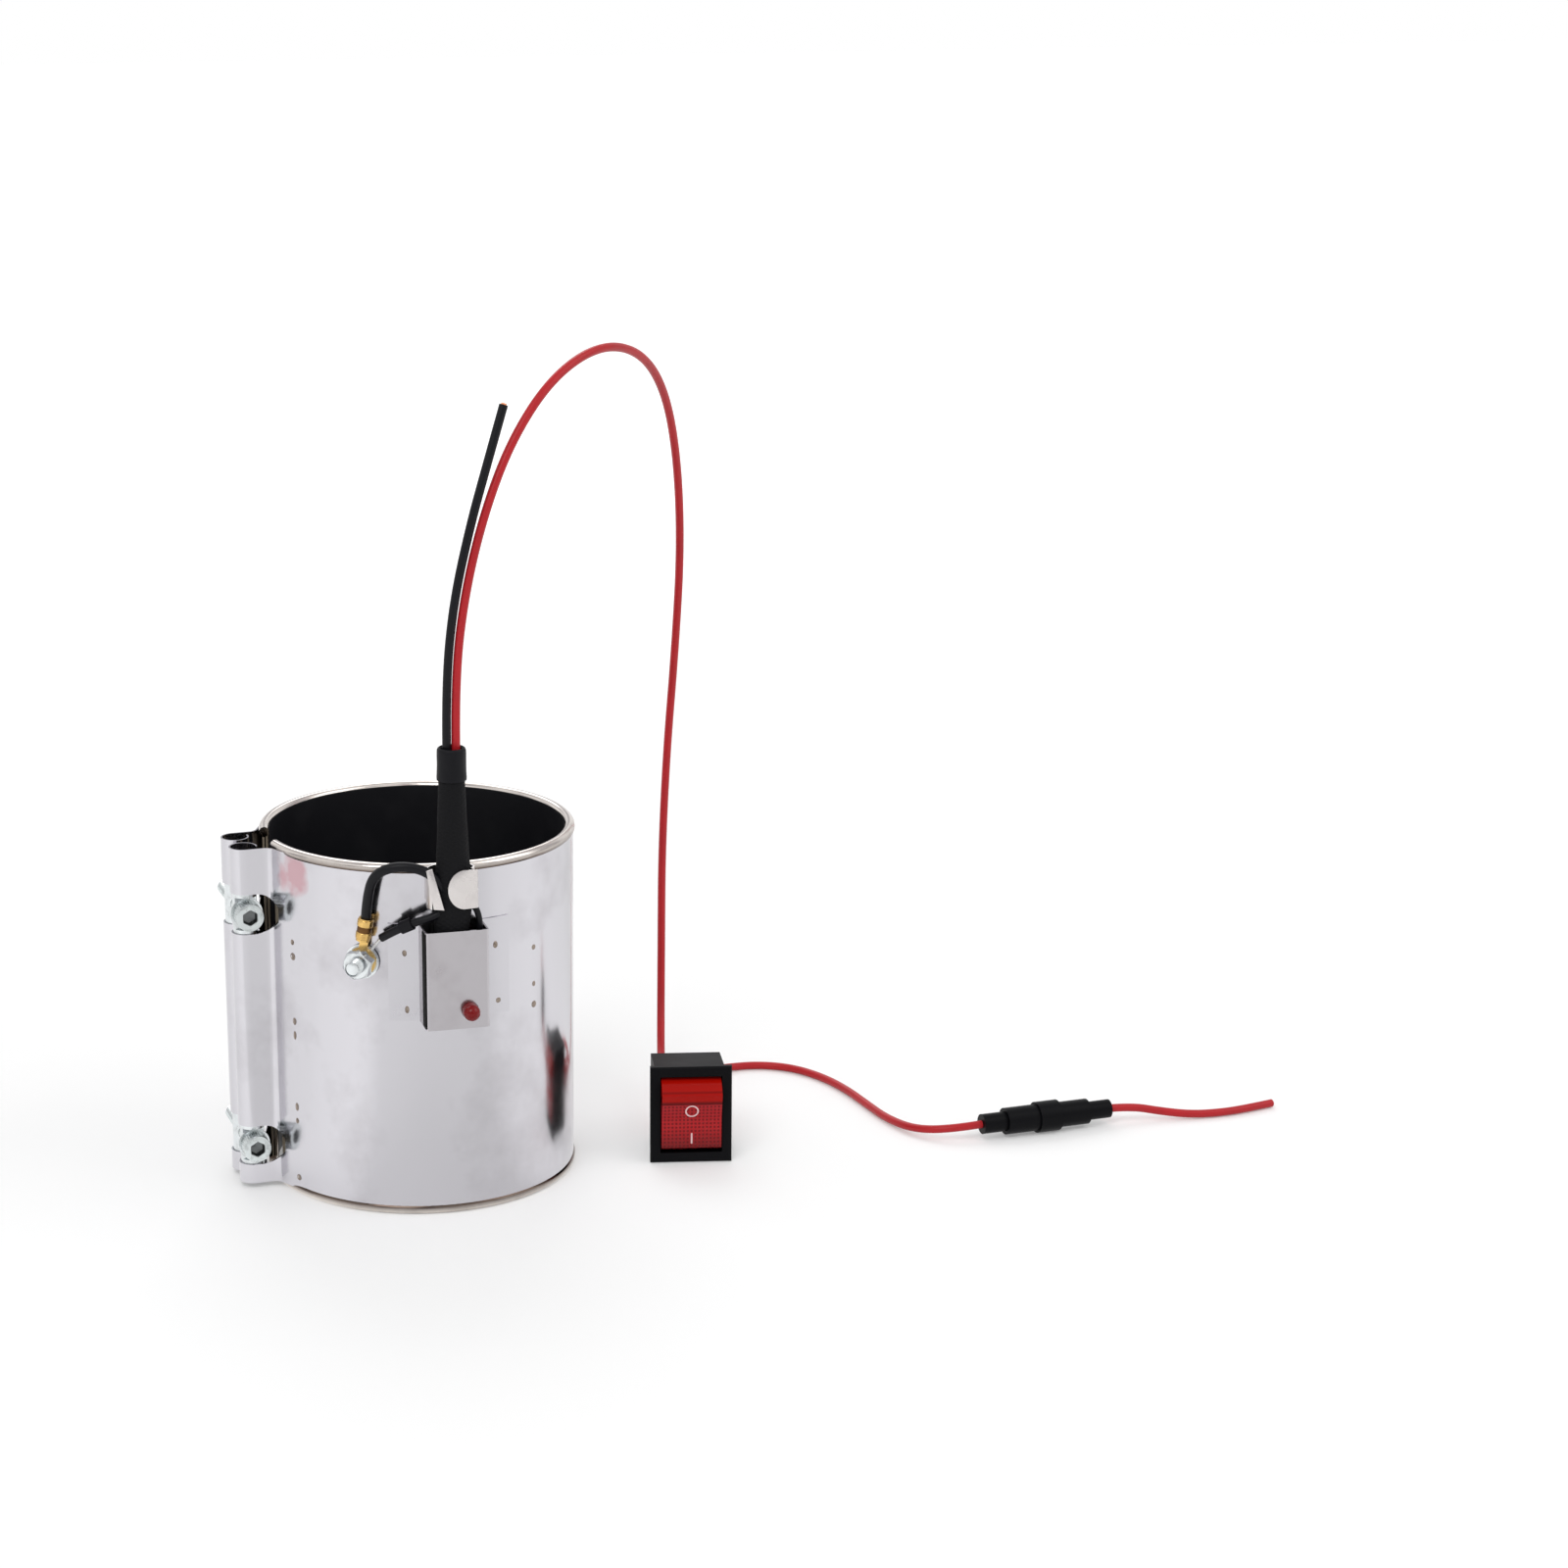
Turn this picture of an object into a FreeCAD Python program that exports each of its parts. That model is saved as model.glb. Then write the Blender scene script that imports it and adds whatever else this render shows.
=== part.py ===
import FreeCAD, Part
import math
import os
from FreeCAD import Vector

# Band heater that clamps round a diesel fuel filter, with its earth stud, terminal housing, indicator lamp,
# sleeved leads, rocker switch and in-line fuse holder. Millimetres, +Z up.
# The origin is on the axis of the bore, in the plane of the lower rim.

# Driving dimensions of the band
bore_radius = 45.0
band_height = 110.0
sheet = 0.5
mica_thickness = 0.6
ribbon_thickness = 0.3
layer_gap = 0.05
rim_roll = 1.6
seam_half_angle = 9.0

# Driving dimensions of the clamp seam
loop_offset_x = 55.5
loop_spacing = 11.0
loop_inner_radius = 3.75
loop_sweep = 285.0
leg_start_angle = 27.0
leg_bend_radius = 3.0
window_height = 12.5
window_reach = 9.0
lower_screw_z = 14.0
upper_screw_z = 88.0
screw_radius = 2.5
screw_length = 30.0
head_radius = 4.25
head_height = 5.0
socket_across_flats = 4.0
socket_depth = 2.6
washer_radius = 4.9
washer_thickness = 0.9
barrel_bearing = 3.0
barrel_flat = 1.6
running_clearance = 0.08
seat_clearance = 0.1

# Driving dimensions of the terminal housing on the front
terminal_turn = -4.0
housing_width = 19.0
housing_height = 30.0
housing_depth = 9.6
housing_bottom_z = 62.0
housing_flange = 9.0
lamp_radius = 2.5
lamp_length = 5.2
lamp_rim = 0.5
lamp_offset_x = 3.6
lamp_height_in_housing = 5.5
cutout_width = 11.0
cutout_length = 15.0
cutout_thickness = 3.6

# Driving dimensions of the sleeve and the strap that holds it
sleeve_radius = 3.8
sleeve_bore = 3.1
sleeve_bottom_z = 86.0
sleeve_top_z = 146.0
collar_thickness = 0.5
collar_length = 9.0
strap_width = 13.0
strap_bottom_z = 98.0
strap_thickness = 0.6
core_radius = 1.3

# Driving dimensions of the earth stud
earth_angle = 234.5
earth_z = 80.0
stud_radius = 2.5
stud_length = 9.5
earth_washer_radius = 5.2
earth_washer_thickness = 1.0
nut_across_flats = 8.0
nut_height = 4.0
ring_thickness = 0.8
ring_radius = 4.4
ring_angle = 80.0
crimp_length = 7.0
crimp_radius = 2.1

# Driving dimensions of the rocker switch
switch_x = 79.0
switch_y = -30.0
switch_turn = -15.0
bezel_width = 25.6
bezel_height = 31.0
bezel_thickness = 2.2
bezel_corner = 0.8
body_width = 22.0
body_height = 28.0
body_depth = 20.0
body_wall = 1.4
rocker_width = 18.8
rocker_height = 24.0
rocker_clearance = 0.3
rocker_pivot_depth = 5.2
rocker_rest_angle = 10.0
rocker_proud = 3.4
rocker_shell = 1.6
pivot_radius = 1.6
blade_spacing = 10.0
blade_width = 6.3
blade_thickness = 0.8
blade_length = 8.0
connector_length = 17.0

# Driving dimensions of the fuse holder
fuse_x = 196.0
fuse_y = -42.0
holder_length = 45.0
holder_radius = 4.3
holder_collar_radius = 5.0
holder_collar_length = 7.5
holder_tail_radius = 3.2
holder_tail_length = 8.0
holder_wall = 1.0
fuse_length = 20.0
fuse_radius = 2.6
fuse_cap_length = 5.0

# Driving dimensions of the leads
lead_radius = 1.3
earth_lead_radius = 1.5

# Routes of the leads, chosen by hand, one point per bend
red_route = [
    (-2.29, -52.07, 146.0), (-2.29, -52.07, 166.0), (0.6, -52.7, 190.0), (6.6, -52.6, 213.0),
    (15.9, -49.5, 233.0), (30.0, -43.0, 249.0), (48.0, -31.5, 256.0), (66.0, -15.5, 251.5),
    (80.5, 3.0, 237.0), (91.0, 20.5, 213.0), (97.5, 34.5, 182.0), (99.5, 44.5, 147.0),
    (99.0, 50.5, 111.0), (98.5, 53.0, 76.0), (98.0, 51.5, 46.0), (95.5, 44.5, 23.0),
    (91.3, 32.5, 11.6), (87.2, 19.9, 11.77), (84.1, 8.34, 12.67)]
black_route = [
    (-4.98, -51.88, 146.0), (-4.98, -51.88, 165.0), (-2.6, -52.4, 188.0), (2.6, -52.6, 210.0),
    (8.0, -51.8, 227.0), (13.4, -50.3, 243.0)]
feed_route = [
    (93.76, 5.75, 12.67), (96.86, 17.31, 11.77), (100.4, 28.2, 7.8), (107.0, 37.0, 3.2),
    (117.0, 42.0, 1.5), (129.0, 41.5, 1.4), (139.0, 35.0, 1.5), (145.5, 23.5, 1.4),
    (148.5, 9.5, 1.5), (149.6, -5.0, 1.4), (150.6, -20.0, 1.5), (154.4, -33.5, 2.4),
    (163.5, -41.6, 4.4), (173.5, -42.0, 5.0)]
tail_route = [
    (218.5, -42.0, 5.0), (227.0, -42.2, 4.7), (236.0, -44.4, 2.8), (246.0, -47.6, 1.6),
    (257.0, -48.6, 1.4), (267.0, -47.8, 1.5), (276.0, -46.0, 1.4)]
earth_route = [
    (-9.6, -53.3, 108.6), (-14.6, -52.2, 112.4), (-20.6, -50.2, 113.2), (-25.4, -47.0, 109.6),
    (-27.3, -44.6, 102.6), (-27.63, -42.87, 94.3)]
link_route = [
    (-9.3, -53.1, 95.8), (-14.6, -50.9, 94.2), (-19.6, -47.9, 91.4), (-23.6, -44.6, 88.2)]

# Radii of the layers, from the bore outwards
sleeve_outer = bore_radius + sheet
mica_inner_radius = sleeve_outer + layer_gap
ribbon_radius = mica_inner_radius + mica_thickness + layer_gap
mica_outer_radius = ribbon_radius + ribbon_thickness + layer_gap
clamp_inner_radius = mica_outer_radius + mica_thickness + layer_gap
clamp_outer_radius = clamp_inner_radius + sheet
rim_radius = clamp_outer_radius + sheet
up = Vector(0, 0, 1)

os.makedirs("parts", exist_ok=True)


def export(name, shape):
    """Write one piece to its own file."""
    shape.exportStep("parts/" + name + ".step")


def cylinder(radius, length, base, axis=up):
    return Part.makeCylinder(radius, length, Vector(*base), Vector(*axis))


def block(x, y, z, width, depth, height):
    """A box centred on x and y that stands on z."""
    return Part.makeBox(width, depth, height, Vector(x - width / 2, y - depth / 2, z))


def polar(radius, degrees):
    """The point at a radius and an angle about the bore's axis."""
    turn = math.radians(degrees)
    return Vector(radius * math.cos(turn), radius * math.sin(turn), 0)


def split_tube(inner, outer, bottom, height, gap):
    """A rolled sheet with its gap on the seam's side, -X."""
    profile = Part.makePolygon([Vector(inner, 0, bottom), Vector(outer, 0, bottom),
                                Vector(outer, 0, bottom + height), Vector(inner, 0, bottom + height),
                                Vector(inner, 0, bottom)])
    face = Part.Face(profile)
    face.rotate(Vector(0, 0, 0), up, 180 + gap)
    return face.revolve(Vector(0, 0, 0), up, 360 - 2 * gap)


def prism(across_flats, length, base, axis=up, turn=0.0):
    """A hexagonal bar along +Z, then swung to its axis."""
    corner = across_flats / math.sqrt(3)
    points = [polar(corner, 60 * step + turn) for step in range(7)]
    bar = Part.Face(Part.makePolygon(points)).extrude(Vector(0, 0, length))
    bar.Placement = FreeCAD.Placement(Vector(*base), FreeCAD.Rotation(up, Vector(*axis)))
    return bar


def on_front(shape):
    """Turn a piece built at -Y to the terminal's place on the band."""
    turned = shape.copy()
    turned.rotate(Vector(0, 0, 0), up, terminal_turn)
    return turned


def on_switch(shape):
    """Move a piece built round the switch's own frame to where the switch stands."""
    lean = math.degrees(math.atan2((bezel_height - body_height) / 2, body_depth))
    moved = shape.copy()
    moved.rotate(Vector(0, 0, -bezel_height / 2), Vector(1, 0, 0), -lean)
    moved.rotate(Vector(0, 0, 0), up, switch_turn)
    moved.translate(Vector(switch_x, switch_y, bezel_height / 2))
    return moved


def tube_along(route, radius):
    """A lead along straight runs joined by tangent arcs, as large as the runs allow."""
    points = [Vector(*point) for point in route]
    edges = []
    start = points[0]
    tightest = None
    for before, corner, after in zip(points, points[1:], points[2:]):
        back = (before - corner).normalize()
        ahead = (after - corner).normalize()
        half_turn = (math.pi - back.getAngle(ahead)) / 2
        cut = 0.45 * min((before - corner).Length, (after - corner).Length)
        arc_radius = cut / math.tan(half_turn)
        tightest = arc_radius if tightest is None else min(tightest, arc_radius)
        first = corner + back * cut
        last = corner + ahead * cut
        inward = (back + ahead).normalize()
        middle = corner + inward * (arc_radius / math.cos(half_turn) - arc_radius)
        edges.append(Part.LineSegment(start, first).toShape())
        edges.append(Part.Arc(first, middle, last).toShape())
        start = last
    edges.append(Part.LineSegment(start, points[-1]).toShape())
    spine = Part.Wire(edges)
    circle = Part.Wire(Part.makeCircle(radius, points[0], points[1] - points[0]))
    solid = spine.makePipeShell([circle], True, False)
    expected = math.pi * radius ** 2 * spine.Length
    print("lead length %.1f, tightest bend %.1f, volume ratio %.4f"
          % (spine.Length, tightest, solid.Volume / expected))
    return solid


# Rolled sheets of the heater


def inner_sleeve():
    """Polished sheet with a rolled rim at each end that traps the mica."""
    wall = split_tube(bore_radius, sleeve_outer, 0, band_height, seam_half_angle)
    rim_reach = rim_radius - sleeve_outer
    rims = []
    for centre_z in (rim_roll / 2, band_height - rim_roll / 2):
        middle = sleeve_outer + rim_reach / 2
        ring = split_tube(sleeve_outer, sleeve_outer + rim_reach, centre_z - rim_roll / 2, rim_roll,
                          seam_half_angle)
        outer_edges = []
        for edge in ring.Edges:
            box = edge.BoundBox
            if edge.Length > middle * 2 and box.XMax > middle and box.ZLength < sheet / 2:
                if edge.Curve.Radius > middle:
                    outer_edges.append(edge)
        rims.append(ring.makeFillet(rim_roll * 0.42, outer_edges))
    return wall.fuse(rims).removeSplitter()


def heating_ribbon():
    """Flat resistance ribbon wound in a rectangular wave between the two mica sheets."""
    margin = 6.0
    bottom = rim_roll + margin
    top = band_height - rim_roll - margin
    strand = 3.0
    runs = 24
    pitch = (360 - 2 * (seam_half_angle + 5)) / runs
    half = math.degrees(strand / 2 / ribbon_radius)
    outer = ribbon_radius + ribbon_thickness
    pieces = []
    for run in range(runs + 1):
        centre = 180 + seam_half_angle + 5 + run * pitch
        pieces.append(wall_patch(ribbon_radius, outer, centre - half, 2 * half, bottom, top - bottom))
        if run < runs:
            link_z = top - strand if run % 2 == 0 else bottom
            pieces.append(wall_patch(ribbon_radius, outer, centre, pitch, link_z, strand))
    return pieces[0].fuse(pieces[1:]).removeSplitter()


def wall_patch(inner, outer, start_angle, sweep, bottom, height):
    """A curved patch of a cylindrical wall."""
    face = Part.Face(Part.makePolygon([Vector(inner, 0, bottom), Vector(outer, 0, bottom),
                                       Vector(outer, 0, bottom + height),
                                       Vector(inner, 0, bottom + height), Vector(inner, 0, bottom)]))
    face.rotate(Vector(0, 0, 0), up, start_angle)
    return face.revolve(Vector(0, 0, 0), up, sweep)


export("inner_sleeve", inner_sleeve())
mica_bottom = rim_roll + seat_clearance
mica_height = band_height - 2 * mica_bottom
export("mica_inner", split_tube(mica_inner_radius, mica_inner_radius + mica_thickness, mica_bottom,
                                mica_height, seam_half_angle))
export("mica_outer", split_tube(mica_outer_radius, mica_outer_radius + mica_thickness, mica_bottom,
                                mica_height, seam_half_angle))
export("heating_ribbon", heating_ribbon())

# Clamp band with a rolled loop at each end of the sheet

loop_mid_radius = loop_inner_radius + sheet / 2
loop_y = loop_spacing / 2


def sheet_end_path(side):
    """Edges from the band's circle to the loop's open edge, on the side where y has this sign."""
    radius = clamp_inner_radius + sheet / 2
    angle = math.radians(leg_start_angle)
    start = Vector(-radius * math.cos(angle), side * radius * math.sin(angle), 0)
    along = Vector(-math.sin(angle), -side * math.cos(angle), 0)
    flat_y = side * (loop_y + loop_mid_radius)
    reach = (start.y - flat_y) / (side * math.cos(angle))
    corner = start + along * reach
    turn = math.pi / 2 - angle
    cut = leg_bend_radius * math.tan(turn / 2)
    bend_start = corner - along * cut
    outwards = Vector(-1, 0, 0)
    bend_end = corner + outwards * cut
    inward = (outwards - along).normalize()
    bend_middle = corner + inward * (leg_bend_radius / math.cos(turn / 2) - leg_bend_radius)
    centre = Vector(-loop_offset_x, side * loop_y, 0)
    loop_points = []
    for step in (0.0, 0.5, 1.0):
        swing = math.radians(90 + loop_sweep * step)
        loop_points.append(centre + Vector(math.cos(swing), side * math.sin(swing), 0) * loop_mid_radius)
    return [Part.LineSegment(start, bend_start).toShape(),
            Part.Arc(bend_start, bend_middle, bend_end).toShape(),
            Part.LineSegment(bend_end, loop_points[0]).toShape(),
            Part.Arc(loop_points[0], loop_points[1], loop_points[2]).toShape()]


def rolled_section():
    """The clamp band's outline, one closed face of constant thickness."""
    radius = clamp_inner_radius + sheet / 2
    angle = math.radians(leg_start_angle)
    front = sheet_end_path(-1)
    back = sheet_end_path(1)
    ends = [Vector(-radius * math.cos(angle), sign * radius * math.sin(angle), 0) for sign in (-1, 1)]
    ring = Part.Arc(ends[0], Vector(radius, 0, 0), ends[1]).toShape()
    faces = []
    for edge in front + [ring] + back:
        faces.append(thicken(edge))
    section = faces[0].fuse(faces[1:])
    return section


def thicken(edge):
    """A strip of the sheet's thickness on both sides of one line or arc."""
    first = edge.valueAt(edge.FirstParameter)
    last = edge.valueAt(edge.LastParameter)
    half = sheet / 2
    if isinstance(edge.Curve, Part.Circle):
        centre = edge.Curve.Center
        middle = edge.valueAt((edge.FirstParameter + edge.LastParameter) / 2)
        radius = edge.Curve.Radius
        grow = (radius + half) / radius
        shrink = (radius - half) / radius
        outer = [centre + (point - centre) * grow for point in (first, middle, last)]
        inner = [centre + (point - centre) * shrink for point in (first, middle, last)]
        edges = [Part.Arc(*outer).toShape(), Part.LineSegment(outer[2], inner[2]).toShape(),
                 Part.Arc(*inner).toShape(), Part.LineSegment(inner[0], outer[0]).toShape()]
    else:
        across = (last - first).cross(up).normalize() * half
        corners = [first + across, last + across, last - across, first - across, first + across]
        edges = Part.makePolygon(corners).Edges
    return Part.Face(Part.Wire(Part.__sortEdges__(edges)))


def screw_window(centre_z, side):
    """The round-ended window that lets the screw's head or tail through the rolled edge."""
    radius = window_height / 2
    outer_x = -loop_offset_x - loop_mid_radius - sheet
    round_x = -loop_offset_x + window_reach - radius
    near_y = loop_y - loop_mid_radius + sheet
    near_corner = near_y if side > 0 else -near_y - loop_spacing
    slot = Part.makeBox(round_x - outer_x, loop_spacing, window_height,
                        Vector(outer_x, near_corner, centre_z - radius))
    return slot.fuse(cylinder(radius, loop_spacing, (round_x, near_corner, centre_z), (0, 1, 0)))


def clamp_band():
    faces = rolled_section()
    bottom = rim_roll + seat_clearance
    height = band_height - 2 * bottom
    solids = [face.extrude(Vector(0, 0, height)) for face in faces.Faces]
    band = solids[0].fuse(solids[1:]).removeSplitter()
    band.translate(Vector(0, 0, bottom))
    cuts = []
    for centre_z in (lower_screw_z, upper_screw_z):
        for side in (-1, 1):
            cuts.append(screw_window(centre_z, side))
        cuts.append(cylinder(screw_radius + 0.6, 4 * loop_spacing,
                             (-loop_offset_x, -2 * loop_spacing, centre_z), (0, 1, 0)))
    return band.cut(cuts)


export("clamp_band", clamp_band())

# Cross barrels in the loops, washers and socket-head screws

barrel_radius = loop_inner_radius - seat_clearance
barrel_length = window_height + 2 * barrel_bearing
head_seat_y = -loop_y - barrel_flat - washer_thickness


def cross_barrel(centre_z, side, bore):
    """A turned pin across the loop, bored for the screw and flat where the washer sits."""
    centre_y = side * loop_y
    pin = cylinder(barrel_radius, barrel_length, (-loop_offset_x, centre_y, centre_z - barrel_length / 2))
    outer_flat = centre_y + side * barrel_flat
    seat = block(-loop_offset_x, outer_flat + side * barrel_radius, centre_z - washer_radius - seat_clearance,
                 3 * barrel_radius, 2 * barrel_radius, 2 * (washer_radius + seat_clearance))
    hole = cylinder(bore, 4 * barrel_radius, (-loop_offset_x, centre_y - 2 * barrel_radius, centre_z),
                    (0, 1, 0))
    return pin.cut([seat, hole])


def clamp_screw(centre_z):
    """Socket-head cap screw that runs along +Y through both barrels."""
    under_head = (-loop_offset_x, head_seat_y, centre_z)
    shank = cylinder(screw_radius, screw_length, under_head, (0, 1, 0))
    tip = Vector(-loop_offset_x, head_seat_y + screw_length, centre_z)
    shank = shank.makeChamfer(0.5, [edge for edge in shank.Edges if edge.BoundBox.YMin > tip.y - 0.1])
    head = cylinder(head_radius, head_height, (-loop_offset_x, head_seat_y - head_height, centre_z),
                    (0, 1, 0))
    rim = [edge for edge in head.Edges if edge.BoundBox.YMax < head_seat_y - head_height + 0.1]
    head = head.makeFillet(0.5, rim)
    socket = prism(socket_across_flats, socket_depth, (-loop_offset_x, head_seat_y - head_height, centre_z),
                   (0, 1, 0))
    return head.fuse(shank).cut(socket).removeSplitter()


def clamp_washer(centre_z):
    base = (-loop_offset_x, head_seat_y, centre_z)
    disc = cylinder(washer_radius, washer_thickness, base, (0, 1, 0))
    return disc.cut(cylinder(screw_radius + running_clearance, washer_thickness, base, (0, 1, 0)))


for place, centre_z in (("lower", lower_screw_z), ("upper", upper_screw_z)):
    export(place + "_clamp_screw", clamp_screw(centre_z))
    export(place + "_clamp_washer", clamp_washer(centre_z))
    export(place + "_head_barrel", cross_barrel(centre_z, -1, screw_radius + running_clearance))
    export(place + "_nut_barrel", cross_barrel(centre_z, 1, screw_radius + running_clearance))

# Terminal housing, indicator lamp and thermal cut-out on the front

housing_front_y = -clamp_outer_radius - housing_depth
lamp_z = housing_bottom_z + lamp_height_in_housing


def terminal_housing():
    """Folded sheet hood, open at the top, with a curved flange on each side that is welded to the band."""
    hood = block(0, housing_front_y / 2, housing_bottom_z, housing_width, -housing_front_y, housing_height)
    corners = [edge for edge in hood.Edges
               if edge.BoundBox.ZLength > housing_height - 0.1 and edge.BoundBox.YMax < housing_front_y + 0.1]
    hood = hood.makeFillet(1.0, corners)
    inside = block(0, (housing_front_y + sheet) / 2, housing_bottom_z + sheet, housing_width - 2 * sheet,
                   -housing_front_y - sheet, housing_height)
    lamp_hole = cylinder(lamp_radius + seat_clearance, 2 * sheet,
                         (lamp_offset_x, housing_front_y - sheet / 2, lamp_z), (0, 1, 0))
    hood = hood.cut([inside, lamp_hole])
    reach = math.degrees((housing_width / 2 + housing_flange) / clamp_outer_radius)
    fold = math.degrees(math.asin((housing_width / 2 - sheet) / clamp_outer_radius))
    flanges = []
    for angle in (270 - reach, 270 + fold):
        flanges.append(wall_patch(clamp_outer_radius, clamp_outer_radius + sheet, angle, reach - fold,
                                  housing_bottom_z, housing_height))
    band_space = cylinder(clamp_outer_radius, band_height, (0, 0, 0))
    return hood.fuse(flanges).cut(band_space).removeSplitter()


def indicator_lamp():
    """Domed 5 mm lamp whose rim sits behind the hood's front."""
    back_y = housing_front_y + sheet
    dome_y = back_y - (lamp_length - lamp_radius)
    stem = cylinder(lamp_radius, back_y - dome_y, (lamp_offset_x, dome_y, lamp_z), (0, 1, 0))
    dome = Part.makeSphere(lamp_radius, Vector(lamp_offset_x, dome_y, lamp_z))
    rim = cylinder(lamp_radius + lamp_rim, 1.0, (lamp_offset_x, back_y, lamp_z), (0, 1, 0))
    return stem.fuse([dome, rim]).removeSplitter()


def thermal_cutout():
    """Small sealed switch that lies flat on the band inside the hood."""
    case = block(0, -clamp_outer_radius - cutout_thickness / 2 - 0.4, housing_bottom_z + sheet + 1.0,
                 cutout_width, cutout_thickness, cutout_length)
    upright = [edge for edge in case.Edges if edge.BoundBox.ZLength > cutout_length - 0.1]
    return case.makeFillet(0.8, upright)


export("terminal_housing", on_front(terminal_housing()))
export("indicator_lamp", on_front(indicator_lamp()))
export("thermal_cutout", on_front(thermal_cutout()))

# Fabric-look sleeve with its shrink collar, the cores inside it and the strap that ties it to the band

sleeve_y = -clamp_outer_radius - strap_thickness - sleeve_radius
core_offset = core_radius + 0.05
core_bottom_z = housing_bottom_z + cutout_length + 3.0


def cable_sleeve():
    tube = cylinder(sleeve_radius, sleeve_top_z - sleeve_bottom_z, (0, sleeve_y, sleeve_bottom_z))
    return tube.cut(cylinder(sleeve_bore, sleeve_top_z - sleeve_bottom_z, (0, sleeve_y, sleeve_bottom_z)))


def shrink_collar():
    bottom = sleeve_top_z - collar_length
    tube = cylinder(sleeve_radius + collar_thickness, collar_length, (0, sleeve_y, bottom))
    return tube.cut(cylinder(sleeve_radius, collar_length, (0, sleeve_y, bottom)))


def sleeve_strap():
    """Bent strap with its back on the band, a slanted tongue on the left and a round one on the right."""
    inner = sleeve_radius + seat_clearance
    outer = inner + strap_thickness
    front_y = sleeve_y - outer
    body = block(0, (front_y - clamp_outer_radius) / 2, strap_bottom_z, 2 * outer,
                 -front_y - clamp_outer_radius, strap_width)
    back_corners = [edge for edge in body.Edges if edge.BoundBox.ZLength > strap_width - 0.1]
    body = body.makeFillet(1.2, back_corners)
    body = body.cut(cylinder(inner, strap_width, (0, sleeve_y, strap_bottom_z)))
    front_gap = block(0, front_y, strap_bottom_z, 2 * inner, 2 * inner, strap_width)
    body = body.cut(front_gap)
    plate_y = front_y - strap_thickness
    tongue = cylinder(strap_width / 2, strap_thickness,
                      (outer - strap_width / 3, front_y, strap_bottom_z + strap_width / 2), (0, 1, 0))
    tongue = tongue.common(block(0, front_y, strap_bottom_z, 2 * outer, 4 * strap_thickness, strap_width))
    slant = Part.makePolygon([Vector(-outer, front_y, strap_bottom_z + strap_width),
                              Vector(-outer, front_y, strap_bottom_z + strap_width / 2),
                              Vector(-outer + 1.5, front_y, strap_bottom_z),
                              Vector(-1.2, front_y, strap_bottom_z),
                              Vector(-outer + 2.6, front_y, strap_bottom_z + strap_width),
                              Vector(-outer, front_y, strap_bottom_z + strap_width)])
    strip = Part.Face(slant).extrude(Vector(0, strap_thickness, 0))
    rim_space = cylinder(rim_radius + seat_clearance, strap_width, (0, 0, band_height - rim_roll - seat_clearance))
    return body.fuse([tongue, strip]).cut(rim_space).removeSplitter()


def core(side):
    """One insulated core that runs up inside the sleeve to where the free lead starts."""
    return cylinder(core_radius, sleeve_top_z - core_bottom_z, (side * core_offset, sleeve_y, core_bottom_z))


export("cable_sleeve", on_front(cable_sleeve()))
export("shrink_collar", on_front(shrink_collar()))
export("sleeve_strap", on_front(sleeve_strap()))
export("black_core", on_front(core(-1)))
export("red_core", on_front(core(1)))

# Earth stud with its washer, ring terminal and nut, and the two short leads that meet it


def on_earth(shape):
    """Turn a piece built at -Y to the earth stud's place."""
    turned = shape.copy()
    turned.rotate(Vector(0, 0, 0), up, earth_angle - 270)
    return turned


stud_seat_y = -clamp_outer_radius - 0.25
ring_back_y = stud_seat_y - earth_washer_thickness
nut_back_y = ring_back_y - ring_thickness
outwards = (0, -1, 0)


def earth_stud():
    stud = cylinder(stud_radius, stud_length, (0, -clamp_outer_radius + 0.2, earth_z), outwards)
    end_y = -clamp_outer_radius + 0.2 - stud_length
    stud = stud.makeChamfer(0.5, [edge for edge in stud.Edges if edge.BoundBox.YMax < end_y + 0.1])
    return stud.cut(cylinder(clamp_outer_radius, band_height, (0, 0, 0)))


def earth_washer():
    disc = cylinder(earth_washer_radius, earth_washer_thickness, (0, stud_seat_y, earth_z), outwards)
    disc = disc.cut(cylinder(stud_radius, earth_washer_thickness, (0, stud_seat_y, earth_z), outwards))
    return disc.cut(cylinder(clamp_outer_radius, band_height, (0, 0, 0)))


def earth_nut():
    """Hexagonal nut with turned corners on its outer face."""
    nut = prism(nut_across_flats, nut_height, (0, nut_back_y, earth_z), outwards, 15)
    corner = nut_across_flats / math.sqrt(3)
    cone = Part.makeCone(corner + nut_height, nut_across_flats / 2 * 0.95, nut_height + 1.2,
                         Vector(0, nut_back_y + 1.2, earth_z), Vector(*outwards))
    return nut.common(cone).cut(cylinder(stud_radius, nut_height, (0, nut_back_y, earth_z), outwards))


def ring_terminal():
    """Stamped brass ring with a rolled barrel that grips the earth lead."""
    lean = math.radians(ring_angle)
    along = Vector(math.cos(lean), 0, math.sin(lean))
    centre = Vector(0, ring_back_y, earth_z)
    ring = cylinder(ring_radius, ring_thickness, centre, outwards)
    barrel_y = ring_back_y - crimp_radius
    barrel_start = Vector(0, barrel_y, earth_z) + along * (14.5 - crimp_length)
    barrel = cylinder(crimp_radius, crimp_length, barrel_start, along)
    neck = Part.makeBox(2.6, ring_thickness, 8.0, Vector(-1.3, ring_back_y - ring_thickness, 0))
    neck.rotate(Vector(0, 0, 0), Vector(0, 1, 0), 90 - ring_angle)
    neck.translate(Vector(0, 0, earth_z) + along * 2.5)
    terminal = ring.fuse([barrel, neck])
    grip = cylinder(earth_lead_radius, crimp_length, barrel_start, along)
    hole = cylinder(stud_radius, ring_thickness, centre, outwards)
    return terminal.cut([hole, grip]).removeSplitter()


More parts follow.
